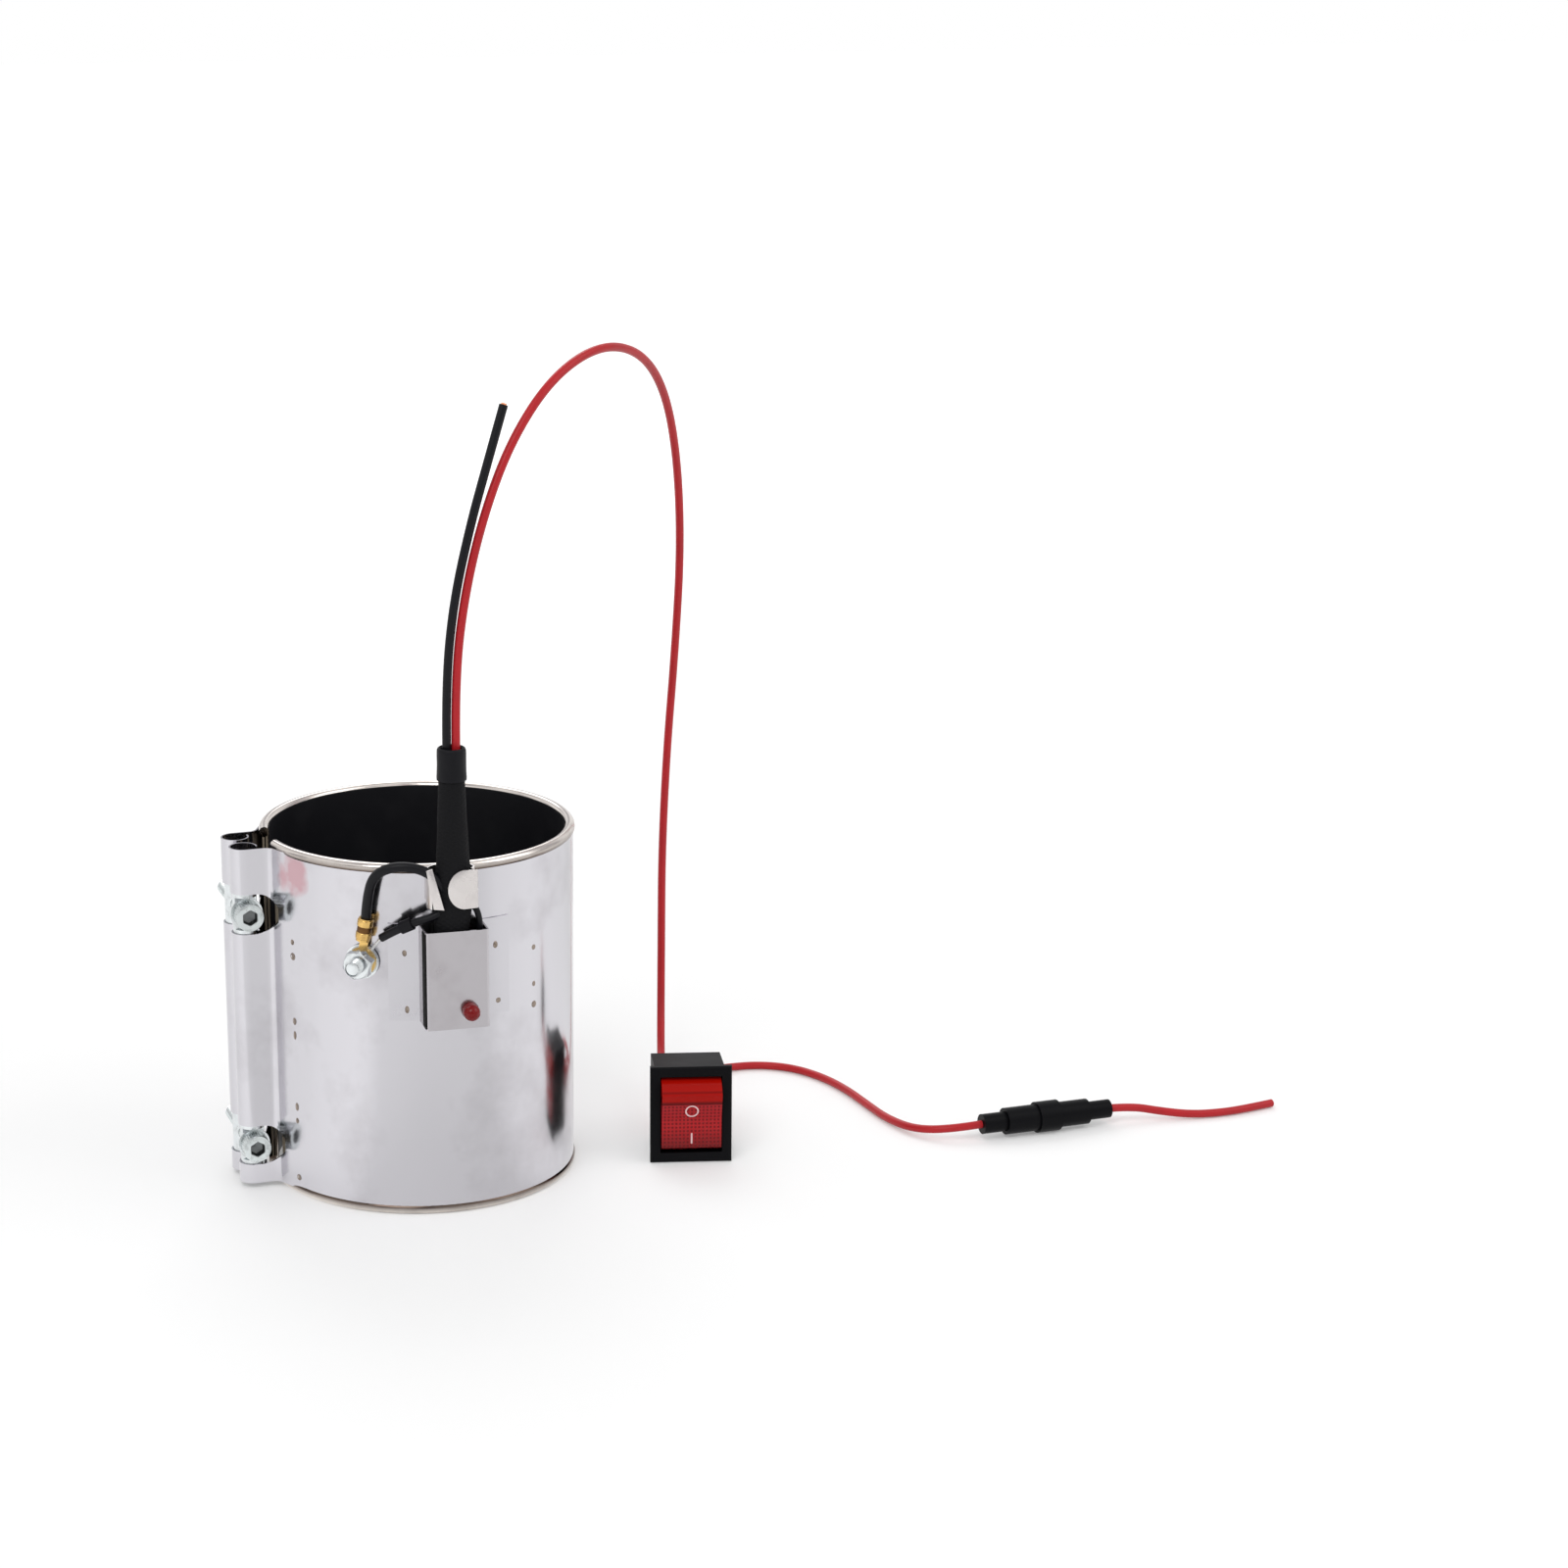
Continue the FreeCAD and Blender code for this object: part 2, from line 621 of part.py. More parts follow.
def link_splice():
    """Shrink sleeve over the joint in the link lead."""
    first = Vector(*link_route[1])
    last = Vector(*link_route[2])
    along = last - first
    start = first + along * 0.2
    tube = cylinder(core_radius + 0.6, along.Length * 0.6, start, along)
    return tube.cut(cylinder(core_radius, along.Length * 0.6, start, along))


def link_tip():
    """Bare tinned end of the link lead that is caught under the washer."""
    first = Vector(*link_route[3])
    stud = on_earth(Part.Vertex(0, stud_seat_y - 0.5, earth_z)).Point
    towards = (first - stud).normalize()
    last = stud + towards * (earth_washer_radius + seat_clearance)
    return cylinder(0.45, (last - first).Length, first, last - first)


export("earth_stud", on_earth(earth_stud()))
export("earth_washer", on_earth(earth_washer()))
export("earth_nut", on_earth(earth_nut()))
export("ring_terminal", on_earth(ring_terminal()))
export("earth_lead", tube_along(earth_route, earth_lead_radius))
export("link_lead", tube_along(link_route, core_radius - 0.05))
export("link_splice", link_splice())
export("link_tip", link_tip())

# Rocker switch, built round the middle of its bezel's back face, with its front at -Y

pivot_y = rocker_pivot_depth - bezel_thickness
blade_inside = 4.0


def switch_body():
    """Moulded case with a flat bezel, the rocker's well and a snap rib on top and bottom."""
    bezel = block(0, -bezel_thickness / 2, -bezel_height / 2, bezel_width, bezel_thickness, bezel_height)
    front = [edge for edge in bezel.Edges if edge.BoundBox.YMax < -bezel_thickness + 0.1]
    bezel = bezel.makeFillet(bezel_corner, front)
    case = block(0, body_depth / 2, -body_height / 2, body_width, body_depth, body_height)
    window = block(0, 0, -rocker_height / 2 - rocker_clearance, rocker_width + 2 * rocker_clearance,
                   4 * bezel_thickness, rocker_height + 2 * rocker_clearance)
    well = block(0, (body_depth - body_wall) / 2, -body_height / 2 + body_wall, body_width - 2 * body_wall,
                 body_depth - body_wall, body_height - 2 * body_wall)
    pins = cylinder(pivot_radius + running_clearance, rocker_width + 2.4,
                    (-rocker_width / 2 - 1.2, pivot_y, 0), (1, 0, 0))
    slots = []
    for side in (-1, 1):
        slots.append(block(side * blade_spacing / 2, body_depth, -blade_width / 2, blade_thickness,
                           4 * body_wall, blade_width))
    return bezel.fuse(case).cut([window, well, pins] + slots).removeSplitter()


def switch_rocker():
    """Rocker with round ends about its pivot and a dished front, resting with its lower half pressed in."""
    reach = rocker_height / 2 + rocker_clearance - 0.2
    drum = cylinder(reach, rocker_width, (-rocker_width / 2, pivot_y, 0), (1, 0, 0))
    back_y = pivot_y + 2.6
    keep = block(0, back_y - reach, -reach, rocker_width, 2 * reach, 2 * reach)
    drum = drum.common(keep)
    front_y = -bezel_thickness - rocker_proud
    dish = Part.Face(Part.makePolygon([Vector(-rocker_width, front_y, reach),
                                       Vector(-rocker_width, front_y - 2 * reach, 0),
                                       Vector(-rocker_width, front_y, -reach),
                                       Vector(-rocker_width, front_y + 1.8, 0),
                                       Vector(-rocker_width, front_y, reach)]))
    drum = drum.cut(dish.extrude(Vector(2 * rocker_width, 0, 0)))
    hollow = block(0, back_y, -reach + 2 * rocker_shell, rocker_width - 2 * rocker_shell,
                   2 * (back_y - front_y - 2.6 - rocker_shell), 2 * reach - 4 * rocker_shell)
    drum = drum.cut(hollow)
    pins = []
    for side in (-1, 1):
        inner = side * (rocker_width / 2 - rocker_shell)
        pins.append(cylinder(pivot_radius, rocker_shell + 1.0, (inner, pivot_y, 0), (side, 0, 0)))
    rocker = drum.fuse(pins).removeSplitter()
    rocker.rotate(Vector(0, pivot_y, 0), Vector(1, 0, 0), rocker_rest_angle)
    return rocker


def switch_blade(side):
    return block(side * blade_spacing / 2, body_depth + blade_length / 2 - blade_inside / 2, -blade_width / 2,
                 blade_thickness, blade_length + blade_inside, blade_width)


def blade_connector(side):
    """Insulated push-on connector whose barrel holds the lead."""
    centre_x = side * blade_spacing / 2
    mouth_y = body_depth + 0.3
    grip_length = 10.0
    shroud = block(centre_x, mouth_y + grip_length / 2, -blade_width / 2 - 1.0, 5.4, grip_length,
                   blade_width + 2.0)
    shroud = shroud.makeFillet(1.6, [edge for edge in shroud.Edges if edge.BoundBox.YLength > grip_length - 1])
    barrel = cylinder(2.3, connector_length - grip_length, (centre_x, mouth_y + grip_length, 0), (0, 1, 0))
    blade_space = block(centre_x, body_depth + blade_length / 2, -blade_width / 2 - seat_clearance,
                        blade_thickness + 2 * seat_clearance, blade_length + 2 * seat_clearance,
                        blade_width + 2 * seat_clearance)
    return shroud.fuse(barrel).cut(blade_space).removeSplitter()


export("switch_body", on_switch(switch_body()))
export("switch_rocker", on_switch(switch_rocker()))
for name, side in (("supply", -1), ("load", 1)):
    export(name + "_blade", on_switch(switch_blade(side)))
    export(name + "_connector", on_switch(blade_connector(side)))

# In-line fuse holder that lies along +X, with the glass fuse inside

holder_z = holder_collar_radius
holder_left_x = fuse_x - holder_length / 2
joint_x = fuse_x + holder_collar_length - 3.5
spigot_length = 6.0
cap_radius = holder_radius - 0.2
fuse_bore = fuse_radius + 0.1
along_x = (1, 0, 0)


def holder_rod(radius, first_x, last_x):
    return cylinder(radius, last_x - first_x, (first_x, fuse_y, holder_z), along_x)


def fuse_body():
    """Left half: tail that grips the lead, barrel and the knurled collar."""
    barrel_x = holder_left_x + holder_tail_length
    collar_x = joint_x - holder_collar_length
    shape = holder_rod(holder_tail_radius, holder_left_x, barrel_x)
    shape = shape.fuse([holder_rod(holder_radius, barrel_x, collar_x),
                        holder_rod(holder_collar_radius, collar_x, joint_x)]).removeSplitter()
    bore = holder_rod(fuse_bore, barrel_x + holder_wall, joint_x)
    socket = holder_rod(cap_radius - holder_wall + running_clearance, joint_x - spigot_length - 0.2, joint_x)
    return shape.cut([bore, socket])


def fuse_cap():
    """Right half: spigot that pushes into the collar, barrel and tail."""
    right_x = holder_left_x + holder_length
    tail_x = right_x - holder_tail_length
    shape = holder_rod(cap_radius - holder_wall, joint_x - spigot_length, joint_x)
    shape = shape.fuse([holder_rod(cap_radius, joint_x, tail_x),
                        holder_rod(holder_tail_radius - 0.2, tail_x, right_x)]).removeSplitter()
    bore = holder_rod(fuse_bore, joint_x - spigot_length, tail_x - holder_wall)
    return shape.cut(bore)


def glass_fuse():
    """Glass tube with a metal cap on each end."""
    first_x = fuse_x - fuse_length / 2
    last_x = fuse_x + fuse_length / 2
    glass = holder_rod(fuse_radius - 0.2, first_x, last_x)
    caps = [holder_rod(fuse_radius, first_x, first_x + fuse_cap_length),
            holder_rod(fuse_radius, last_x - fuse_cap_length, last_x)]
    return glass.fuse(caps).removeSplitter()


fuse_gap = 0.2
export("fuse_body", fuse_body())
export("fuse_cap", fuse_cap())
export("glass_fuse", glass_fuse())
export("body_contact", holder_rod(fuse_radius - 0.6, holder_left_x + holder_tail_length + holder_wall,
                                  fuse_x - fuse_length / 2 - fuse_gap))
export("cap_contact", holder_rod(fuse_radius - 0.6, fuse_x + fuse_length / 2 + fuse_gap,
                                 holder_left_x + holder_length - holder_tail_length - holder_wall))

# Free leads

export("red_lead", tube_along(red_route, lead_radius))
export("black_lead", tube_along(black_route, lead_radius))
export("feed_lead", tube_along(feed_route, lead_radius))
export("tail_lead", tube_along(tail_route, lead_radius))
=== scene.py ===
import bpy
import bmesh
import math
import random
from mathutils import Matrix, Vector


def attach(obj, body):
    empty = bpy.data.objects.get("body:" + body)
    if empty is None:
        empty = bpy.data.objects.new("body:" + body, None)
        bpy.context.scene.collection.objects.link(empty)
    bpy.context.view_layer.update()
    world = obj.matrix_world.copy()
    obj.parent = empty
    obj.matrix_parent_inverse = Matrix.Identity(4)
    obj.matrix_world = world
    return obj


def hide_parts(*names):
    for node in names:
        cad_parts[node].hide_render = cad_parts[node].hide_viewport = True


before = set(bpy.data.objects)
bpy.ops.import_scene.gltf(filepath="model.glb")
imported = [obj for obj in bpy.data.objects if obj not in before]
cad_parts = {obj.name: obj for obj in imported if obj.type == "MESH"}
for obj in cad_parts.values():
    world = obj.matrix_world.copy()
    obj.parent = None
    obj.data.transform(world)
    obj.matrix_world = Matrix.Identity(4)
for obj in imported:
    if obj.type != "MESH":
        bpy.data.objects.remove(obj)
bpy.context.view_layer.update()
random.seed(7)
MM = 0.001
bpy.ops.object.select_all(action="DESELECT")

# The studio: a pale floor that runs out of the picture, a soft white surround and three large soft lamps.
# The camera stands a little to the left of the front, at the photograph's height, with a long lens. Dark
# and bright cards round the floor give the polished band the upright streaks of its reflections.

picture_width = 1600
camera_turn = math.radians(18.4)
camera_height = math.radians(17.7)
camera_distance = 1.0
focal_pixels = 3308
sensor_width = 36.0
aim_right = 0.0522
aim_up = 0.0745
axis_pixel = (600, 950)

forward = Vector((math.sin(camera_turn) * math.cos(camera_height),
                  math.cos(camera_turn) * math.cos(camera_height), -math.sin(camera_height)))
sideways = Vector((math.cos(camera_turn), -math.sin(camera_turn), 0))
aim = sideways * aim_right + Vector((0, 0, aim_up))
bpy.ops.object.camera_add(location=aim - forward * camera_distance)
camera = bpy.context.object
camera.name = "camera"
camera.rotation_mode = "QUATERNION"
camera.rotation_quaternion = forward.to_track_quat("-Z", "Y")
camera.data.sensor_width = sensor_width
camera.data.lens = focal_pixels / picture_width * sensor_width
camera.data.shift_x = 0.5 - axis_pixel[0] / picture_width
camera.data.shift_y = axis_pixel[1] / picture_width - 0.5
bpy.context.scene.camera = camera
bpy.context.scene.view_settings.view_transform = "Standard"


def new_material(name):
    """A material with its node tree and its Principled shader."""
    made = bpy.data.materials.new(name)
    made.use_nodes = True
    tree = made.node_tree
    return made, tree, tree.nodes["Principled BSDF"]


def fill(tree, node, inputs):
    """Set some inputs of a node. Each is a value, or a socket to link."""
    for place, value in inputs.items():
        if isinstance(value, bpy.types.NodeSocket):
            tree.links.new(value, node.inputs[place])
        else:
            node.inputs[place].default_value = value


def add_node(tree, kind, inputs=None, **settings):
    """A shader node with its settings and inputs."""
    node = tree.nodes.new("ShaderNode" + kind)
    for setting, value in settings.items():
        setattr(node, setting, value)
    fill(tree, node, inputs or {})
    return node


def math_step(tree, operation, *values):
    """The result of one sum, in which each value is a number or a socket."""
    return add_node(tree, "Math", dict(enumerate(values)), operation=operation).outputs[0]


def set_stops(ramp, stops):
    """Give a colour ramp its stops, in rising order."""
    for number, (stop, shade) in enumerate(stops):
        element = ramp.elements[number] if number < 2 else ramp.elements.new(stop)
        element.position = stop
        element.color = shade


bpy.ops.mesh.primitive_plane_add(size=14, location=(0, 0, 0))
studio_floor = bpy.context.object
studio_floor.name = "studio_floor"
floor_paint, floor_tree, floor_shader = new_material("floor_paint")
floor_path = add_node(floor_tree, "LightPath")
floor_spot = add_node(floor_tree, "TexCoord").outputs["Object"]
# Painted light: the floor glows for camera and transmission rays, from 0.2 near the heater to 0.56 far off,
# so the far floor is white and the shadow near the heater stays. For glossy rays it shows the cards
# instead.
floor_direct = math_step(floor_tree, "MAXIMUM", floor_path.outputs["Is Camera Ray"],
                         floor_path.outputs["Is Transmission Ray"])
floor_reach = add_node(floor_tree, "VectorMath", {0: floor_spot}, operation="LENGTH")
floor_far = add_node(floor_tree, "MapRange", {
    "Value": floor_reach.outputs["Value"], "From Min": 0.25, "From Max": 1.3, "To Min": 0.2,
    "To Max": 0.56}, interpolation_type="SMOOTHSTEP")
floor_painted_glow = math_step(floor_tree, "MULTIPLY", floor_direct, floor_far.outputs[0])
floor_round = add_node(floor_tree, "TexGradient", {"Vector": floor_spot}, gradient_type="RADIAL")
floor_cards = add_node(floor_tree, "ValToRGB", {"Fac": floor_round.outputs["Fac"]})
card_shades = [
    (0.0, 0.40), (0.085, 0.45), (0.112, 0.40), (0.136, 0.24), (0.2, 0.20), (0.314, 0.14),
    (0.335, 0.17), (0.36, 0.29), (0.43, 0.37), (0.5, 0.34), (0.556, 0.24), (0.6, 0.08),
    (0.63, 0.24), (0.7, 0.10), (0.73, 0.34), (0.78, 0.14), (0.86, 0.30), (1.0, 0.38)]
set_stops(floor_cards.color_ramp, [(stop, (shade, shade, shade, 1)) for stop, shade in card_shades])
floor_cards_and_glow = math_step(floor_tree, "MULTIPLY_ADD", floor_path.outputs["Is Glossy Ray"],
                           floor_cards.outputs["Color"], floor_painted_glow)
fill(floor_tree, floor_shader, {"Base Color": (0.8, 0.8, 0.8, 1), "Roughness": 0.9,
                                "Emission Color": (1, 1, 1, 1), "Emission Strength": floor_cards_and_glow})
studio_floor.data.materials.append(floor_paint)

lamp_places = [
    ("key_lamp", (-0.7, -0.9, 1.3), 0.9, 8.0),
    ("fill_lamp", (1.1, -0.6, 1.0), 1.0, 4.0),
    ("back_lamp", (0.2, 1.1, 1.1), 0.9, 5.0)]
for lamp_name, lamp_at, lamp_size, lamp_power in lamp_places:
    bpy.ops.object.light_add(type="AREA", location=lamp_at)
    studio_lamp = bpy.context.object
    studio_lamp.name = lamp_name
    studio_lamp.data.size = lamp_size
    studio_lamp.data.energy = lamp_power
    studio_lamp.rotation_mode = "QUATERNION"
    studio_lamp.rotation_quaternion = (Vector((0.05, 0, 0.06)) - Vector(lamp_at)).to_track_quat("-Z", "Y")

surround = bpy.data.worlds.new("surround")
bpy.context.scene.world = surround
surround.use_nodes = True
sky = surround.node_tree
white = (1, 1, 1, 1)
sky_plain = sky.nodes["Background"]
fill(sky, sky_plain, {"Color": white, "Strength": 0.62})
sky_path = add_node(sky, "LightPath").outputs
sky_way = add_node(sky, "TexCoord")
sky_upright = add_node(sky, "Mapping", {"Vector": sky_way.outputs["Generated"], "Scale": (1, 1, 0.16)})
sky_bands = add_node(sky, "TexNoise", {"Vector": sky_upright.outputs[0], "Scale": 2.6, "Detail": 2})
sky_ramp = add_node(sky, "ValToRGB", {"Fac": sky_bands.outputs["Fac"]})
set_stops(sky_ramp.color_ramp, [(0.36, (0.40, 0.39, 0.42, 1)), (0.56, white)])
sky_mirrored = add_node(sky, "Background", {"Color": sky_ramp.outputs["Color"]})
sky_seen = add_node(sky, "Background", {"Color": white})
sky_reflect = math_step(sky, "MAXIMUM", sky_path["Is Glossy Ray"], sky_path["Is Transmission Ray"])
sky_mix = add_node(sky, "MixShader", {"Fac": sky_reflect, 1: sky_plain.outputs[0],
                                      2: sky_mirrored.outputs[0]})
sky_front = add_node(sky, "MixShader", {"Fac": sky_path["Is Camera Ray"], 1: sky_mix.outputs[0],
                                        2: sky_seen.outputs[0]})
fill(sky, sky.nodes["World Output"], {"Surface": sky_front.outputs[0]})

# The free leads: stranded copper in smooth red or black insulation, 2.6 mm across. The pair stands up out
# of the sleeve; the black one ends cut, and the red one arches over and down to the switch behind it.

lead_width = 2.6 * MM
red_route = [
    (-2.29, -52.07, 146.0), (-2.29, -52.07, 166.0), (0.6, -52.7, 190.0), (6.6, -52.6, 213.0),
    (15.9, -49.5, 233.0), (30.0, -43.0, 249.0), (48.0, -31.5, 256.0), (66.0, -15.5, 251.5),
    (80.5, 3.0, 237.0), (91.0, 20.5, 213.0), (97.5, 34.5, 182.0), (99.5, 44.5, 147.0),
    (99.0, 50.5, 111.0), (98.5, 53.0, 76.0), (98.0, 51.5, 46.0), (95.5, 44.5, 23.0),
    (91.3, 32.5, 11.6), (87.2, 19.9, 11.77), (84.1, 8.34, 12.67)]
black_route = [
    (-4.98, -51.88, 146.0), (-4.98, -51.88, 165.0), (-2.6, -52.4, 188.0), (2.6, -52.6, 210.0),
    (8.0, -51.8, 227.0), (13.4, -50.3, 243.0)]
feed_route = [
    (93.76, 5.75, 12.67), (96.86, 17.31, 11.77), (100.4, 28.2, 7.8), (107.0, 37.0, 3.2),
    (117.0, 42.0, 1.5), (129.0, 41.5, 1.4), (139.0, 35.0, 1.5), (145.5, 23.5, 1.4),
    (148.5, 9.5, 1.5), (149.6, -5.0, 1.4), (150.6, -20.0, 1.5), (154.4, -33.5, 2.4),
    (163.5, -41.6, 4.4), (173.5, -42.0, 5.0)]
tail_route = [
    (218.5, -42.0, 5.0), (227.0, -42.2, 4.7), (236.0, -44.4, 2.8), (246.0, -47.6, 1.6),
    (257.0, -48.6, 1.4), (267.0, -47.8, 1.5), (276.0, -46.0, 1.4)]


def node_group(name, inputs, outputs):
    """A shader node group with named sockets. Its two end nodes come back with it."""
    group = bpy.data.node_groups.new(name, "ShaderNodeTree")
    for socket_name, kind, value in inputs:
        socket = group.interface.new_socket(socket_name, in_out="INPUT", socket_type=kind)
        socket.default_value = value
    for socket_name, kind in outputs:
        group.interface.new_socket(socket_name, in_out="OUTPUT", socket_type=kind)
    start = group.nodes.new("NodeGroupInput")
    end = group.nodes.new("NodeGroupOutput")
    return group, start, end


def build_moulded_skin():
    """Fine grain, faint handling marks and a slight change of colour, for plastics and rubbers."""
    group, start, end = node_group(
        "moulded_skin",
        [("Color", "NodeSocketColor", (0.1, 0.1, 0.1, 1)), ("Grain", "NodeSocketFloat", 900.0),
         ("Gloss", "NodeSocketFloat", 0.4), ("Spread", "NodeSocketFloat", 0.12)],
        [("Color", "NodeSocketColor"), ("Roughness", "NodeSocketFloat"), ("Height", "NodeSocketFloat")])
    place = add_node(group, "TexCoord").outputs["Object"]
    grain = add_node(group, "TexNoise", {"Vector": place, "Scale": start.outputs["Grain"], "Detail": 3})
    marks = add_node(group, "TexNoise", {"Vector": place, "Scale": 90, "Detail": 4}).outputs["Fac"]
    rough = math_step(group, "MULTIPLY_ADD", marks, start.outputs["Spread"], start.outputs["Gloss"])
    shade = add_node(group, "MapRange", {"Value": marks, "To Min": 0.82, "To Max": 1.18})
    tint = add_node(group, "VectorMath", {0: start.outputs["Color"], "Scale": shade.outputs[0]},
                    operation="SCALE")
    fill(group, end, {"Color": tint.outputs[0], "Roughness": rough, "Height": grain.outputs["Fac"]})
    return group


moulded_skin = build_moulded_skin()


def join_bump(tree, shader, height, distance):
    """Feed a height into the shader's normal through a Bump node."""
    bump = add_node(tree, "Bump", {"Distance": distance, "Height": height})
    fill(tree, shader, {"Normal": bump.outputs["Normal"]})


def skinned(name, group, skin_inputs, shader_inputs):
    """A material whose colour and roughness come from a node group, with its parts."""
    made, tree, shader = new_material(name)
    skin = add_node(tree, "Group", skin_inputs, node_tree=group)
    fill(tree, shader, {"Base Color": skin.outputs["Color"], "Roughness": skin.outputs["Roughness"],
                        **shader_inputs})
    return made, tree, shader, skin


def moulded_material(name, color, grain=900.0, gloss=0.4, spread=0.12, depth=0.02 * MM, coat=0.0,
                     specular=0.5):
    """A plastic or rubber finish with its own colour, grain and gloss."""
    made, tree, shader, skin = skinned(
        name, moulded_skin, {"Color": (*color, 1), "Grain": grain, "Gloss": gloss, "Spread": spread},
        {"Coat Weight": coat, "Coat Roughness": 0.15, "Specular IOR Level": specular})
    join_bump(tree, shader, skin.outputs["Height"], depth)
    return made


red_insulation = moulded_material("red_insulation", (0.46, 0.012, 0.018), 500.0, 0.3, 0.15, specular=0.3)
black_insulation = moulded_material("black_insulation", (0.005, 0.005, 0.007), 500.0, 0.3, 0.15,
                                    specular=0.2)


def lead_curve(name, route, width, material):
    """A round lead along a smooth line that is led by the route's points."""
    line = bpy.data.curves.new(name, "CURVE")
    line.dimensions = "3D"
    spline = line.splines.new("NURBS")
    spline.points.add(len(route) - 1)
    for point, place in zip(spline.points, route):
        point.co = (place[0] * MM, place[1] * MM, place[2] * MM, 1)
    spline.order_u = 3
    spline.use_endpoint_u = True
    line.resolution_u = 14
    line.bevel_depth = width / 2
    line.bevel_resolution = 5
    line.use_fill_caps = True
    lead = bpy.data.objects.new(name, line)
    bpy.context.collection.objects.link(lead)
    line.materials.append(material)
    return lead


red_lead = lead_curve("red_lead_insulation", red_route, lead_width, red_insulation)
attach(red_lead, "heater")
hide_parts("red_lead")

black_lead = lead_curve("black_lead_insulation", black_route, lead_width, black_insulation)
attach(black_lead, "heater")
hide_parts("black_lead")

feed_lead = lead_curve("feed_lead_insulation", feed_route, lead_width, red_insulation)
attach(feed_lead, "heater")
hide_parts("feed_lead")

tail_lead = lead_curve("tail_lead_insulation", tail_route, lead_width, red_insulation)
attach(tail_lead, "cap_end")
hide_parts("tail_lead")

# The black insulation of the earth and link leads, and the loop that comes back into the hood. They
# leave the sleeve under its strap. The earth lead ends in a brass crimp, the link lead in a bare tip.

front_turn = math.radians(-4.0)
sleeve_middle_y = -52.1


def at_front(x, y, z):
    """A point given in front of the band's middle, turned to where the terminal group stands, in mm."""
    return (x * math.cos(front_turn) - y * math.sin(front_turn),
            x * math.sin(front_turn) + y * math.cos(front_turn), z)


earth_route = [
    (-7.2, -53.0, 104.0), (-9.4, -53.3, 108.0), (-14.4, -52.2, 110.9), (-20.8, -50.2, 111.4),
    (-25.8, -47.0, 108.6), (-27.4, -44.6, 102.2), (-27.63, -42.87, 94.3)]
link_route = [
    (-5.6, -53.2, 98.4), (-9.3, -53.1, 95.8), (-14.6, -50.9, 94.2), (-19.6, -47.9, 91.4),
    (-23.6, -44.6, 88.2)]
loop_route = [
    at_front(5.0, -52.6, 99.0), at_front(6.6, -52.9, 97.6), at_front(7.6, -53.0, 94.0),
    at_front(7.7, -52.9, 90.0), at_front(7.0, -52.6, 84.0)]
short_leads = [
    ("earth_lead_insulation", earth_route, 3.0 * MM, "earth_lead"),
    ("link_lead_insulation", link_route, 2.5 * MM, "link_lead"),
    ("loop_lead_insulation", loop_route, 1.9 * MM, None)]
for lead_name, route, width, replaced in short_leads:
    short_lead = lead_curve(lead_name, route, width, black_insulation)
    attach(short_lead, "heater")
    if replaced:
        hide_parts(replaced)


def dress(node, material):
    """Give a CAD node its finish."""
    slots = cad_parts[node].material_slots
    if slots:
        for entry in slots:
            entry.link = "OBJECT"
            entry.material = material
    else:
        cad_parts[node].data.materials.append(material)


dress("black_core", black_insulation)
dress("red_core", red_insulation)

# Cut copper strands that stand out of the two bare ends. The strands are twisted from seven wires, and
# the insulation is simply cut off square around them.

bright_copper = skinned(
    "bright_copper", moulded_skin, {"Color": (0.86, 0.38, 0.20, 1), "Gloss": 0.22, "Spread": 0.2},
    {"Metallic": 1.0})[0]
strand_radius = 0.27 * MM
strand_length = 1.6 * MM


def only(piece):
    """Select one piece and make it the active one."""
    bpy.ops.object.select_all(action="DESELECT")
    piece.select_set(True)
    bpy.context.view_layer.objects.active = piece


def joined(pieces, name):
    """Join pieces into the first one under a new name."""
    bpy.ops.object.select_all(action="DESELECT")
    for piece in pieces:
        piece.select_set(True)
    bpy.context.view_layer.objects.active = pieces[0]
    if len(pieces) > 1:
        bpy.ops.object.join()
    pieces[0].name = name
    return pieces[0]


def set_down(piece, matrix, material, smooth_angle=35):
    """Move a piece to its place for good, give it its finish and smooth its round faces."""
    only(piece)
    piece.matrix_world = matrix @ piece.matrix_world
    bpy.ops.object.transform_apply(location=True, rotation=True, scale=True)
    bpy.ops.object.shade_smooth_by_angle(angle=math.radians(smooth_angle))
    piece.data.materials.clear()
    piece.data.materials.append(material)
    return piece


def along(direction, place):
    """A matrix that turns +Z to a direction and moves the origin to a place in mm."""
    turn = Vector(direction).to_track_quat("Z", "Y").to_matrix().to_4x4()
    return Matrix.Translation(Vector(place) * MM) @ turn


def strand_bundle(name, route, body):
    """Seven short strands that stand out of a lead's cut end."""
    end = Vector(route[-1])
    direction = (end - Vector(route[-2])).normalized()
    strands = []
    for number in range(7):
        angle = math.radians(60 * number)
        reach = 0 if number == 6 else strand_radius * 2.02
        bpy.ops.mesh.primitive_cylinder_add(
            vertices=10, radius=strand_radius, depth=strand_length,
            location=(reach * math.cos(angle), reach * math.sin(angle), 0.02 * MM * (number % 3)))
        bpy.ops.object.mode_set(mode="EDIT")
        bpy.ops.mesh.select_all(action="SELECT")
        bpy.ops.mesh.bevel(offset=0.06 * MM, segments=2)
        bpy.ops.object.mode_set(mode="OBJECT")
        strands.append(bpy.context.object)
    bundle = joined(strands, name)
    set_down(bundle, along(direction, end - direction * 0.35), bright_copper)
    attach(bundle, body)


strand_bundle("black_lead_strands", black_route, "heater")
strand_bundle("tail_lead_strands", tail_route, "cap_end")

# The sleeve over the leads: soft black woven tube, flattened and wider where the strap presses it on
# the band and where the two short leads come out. Its lower end stands in the hood.

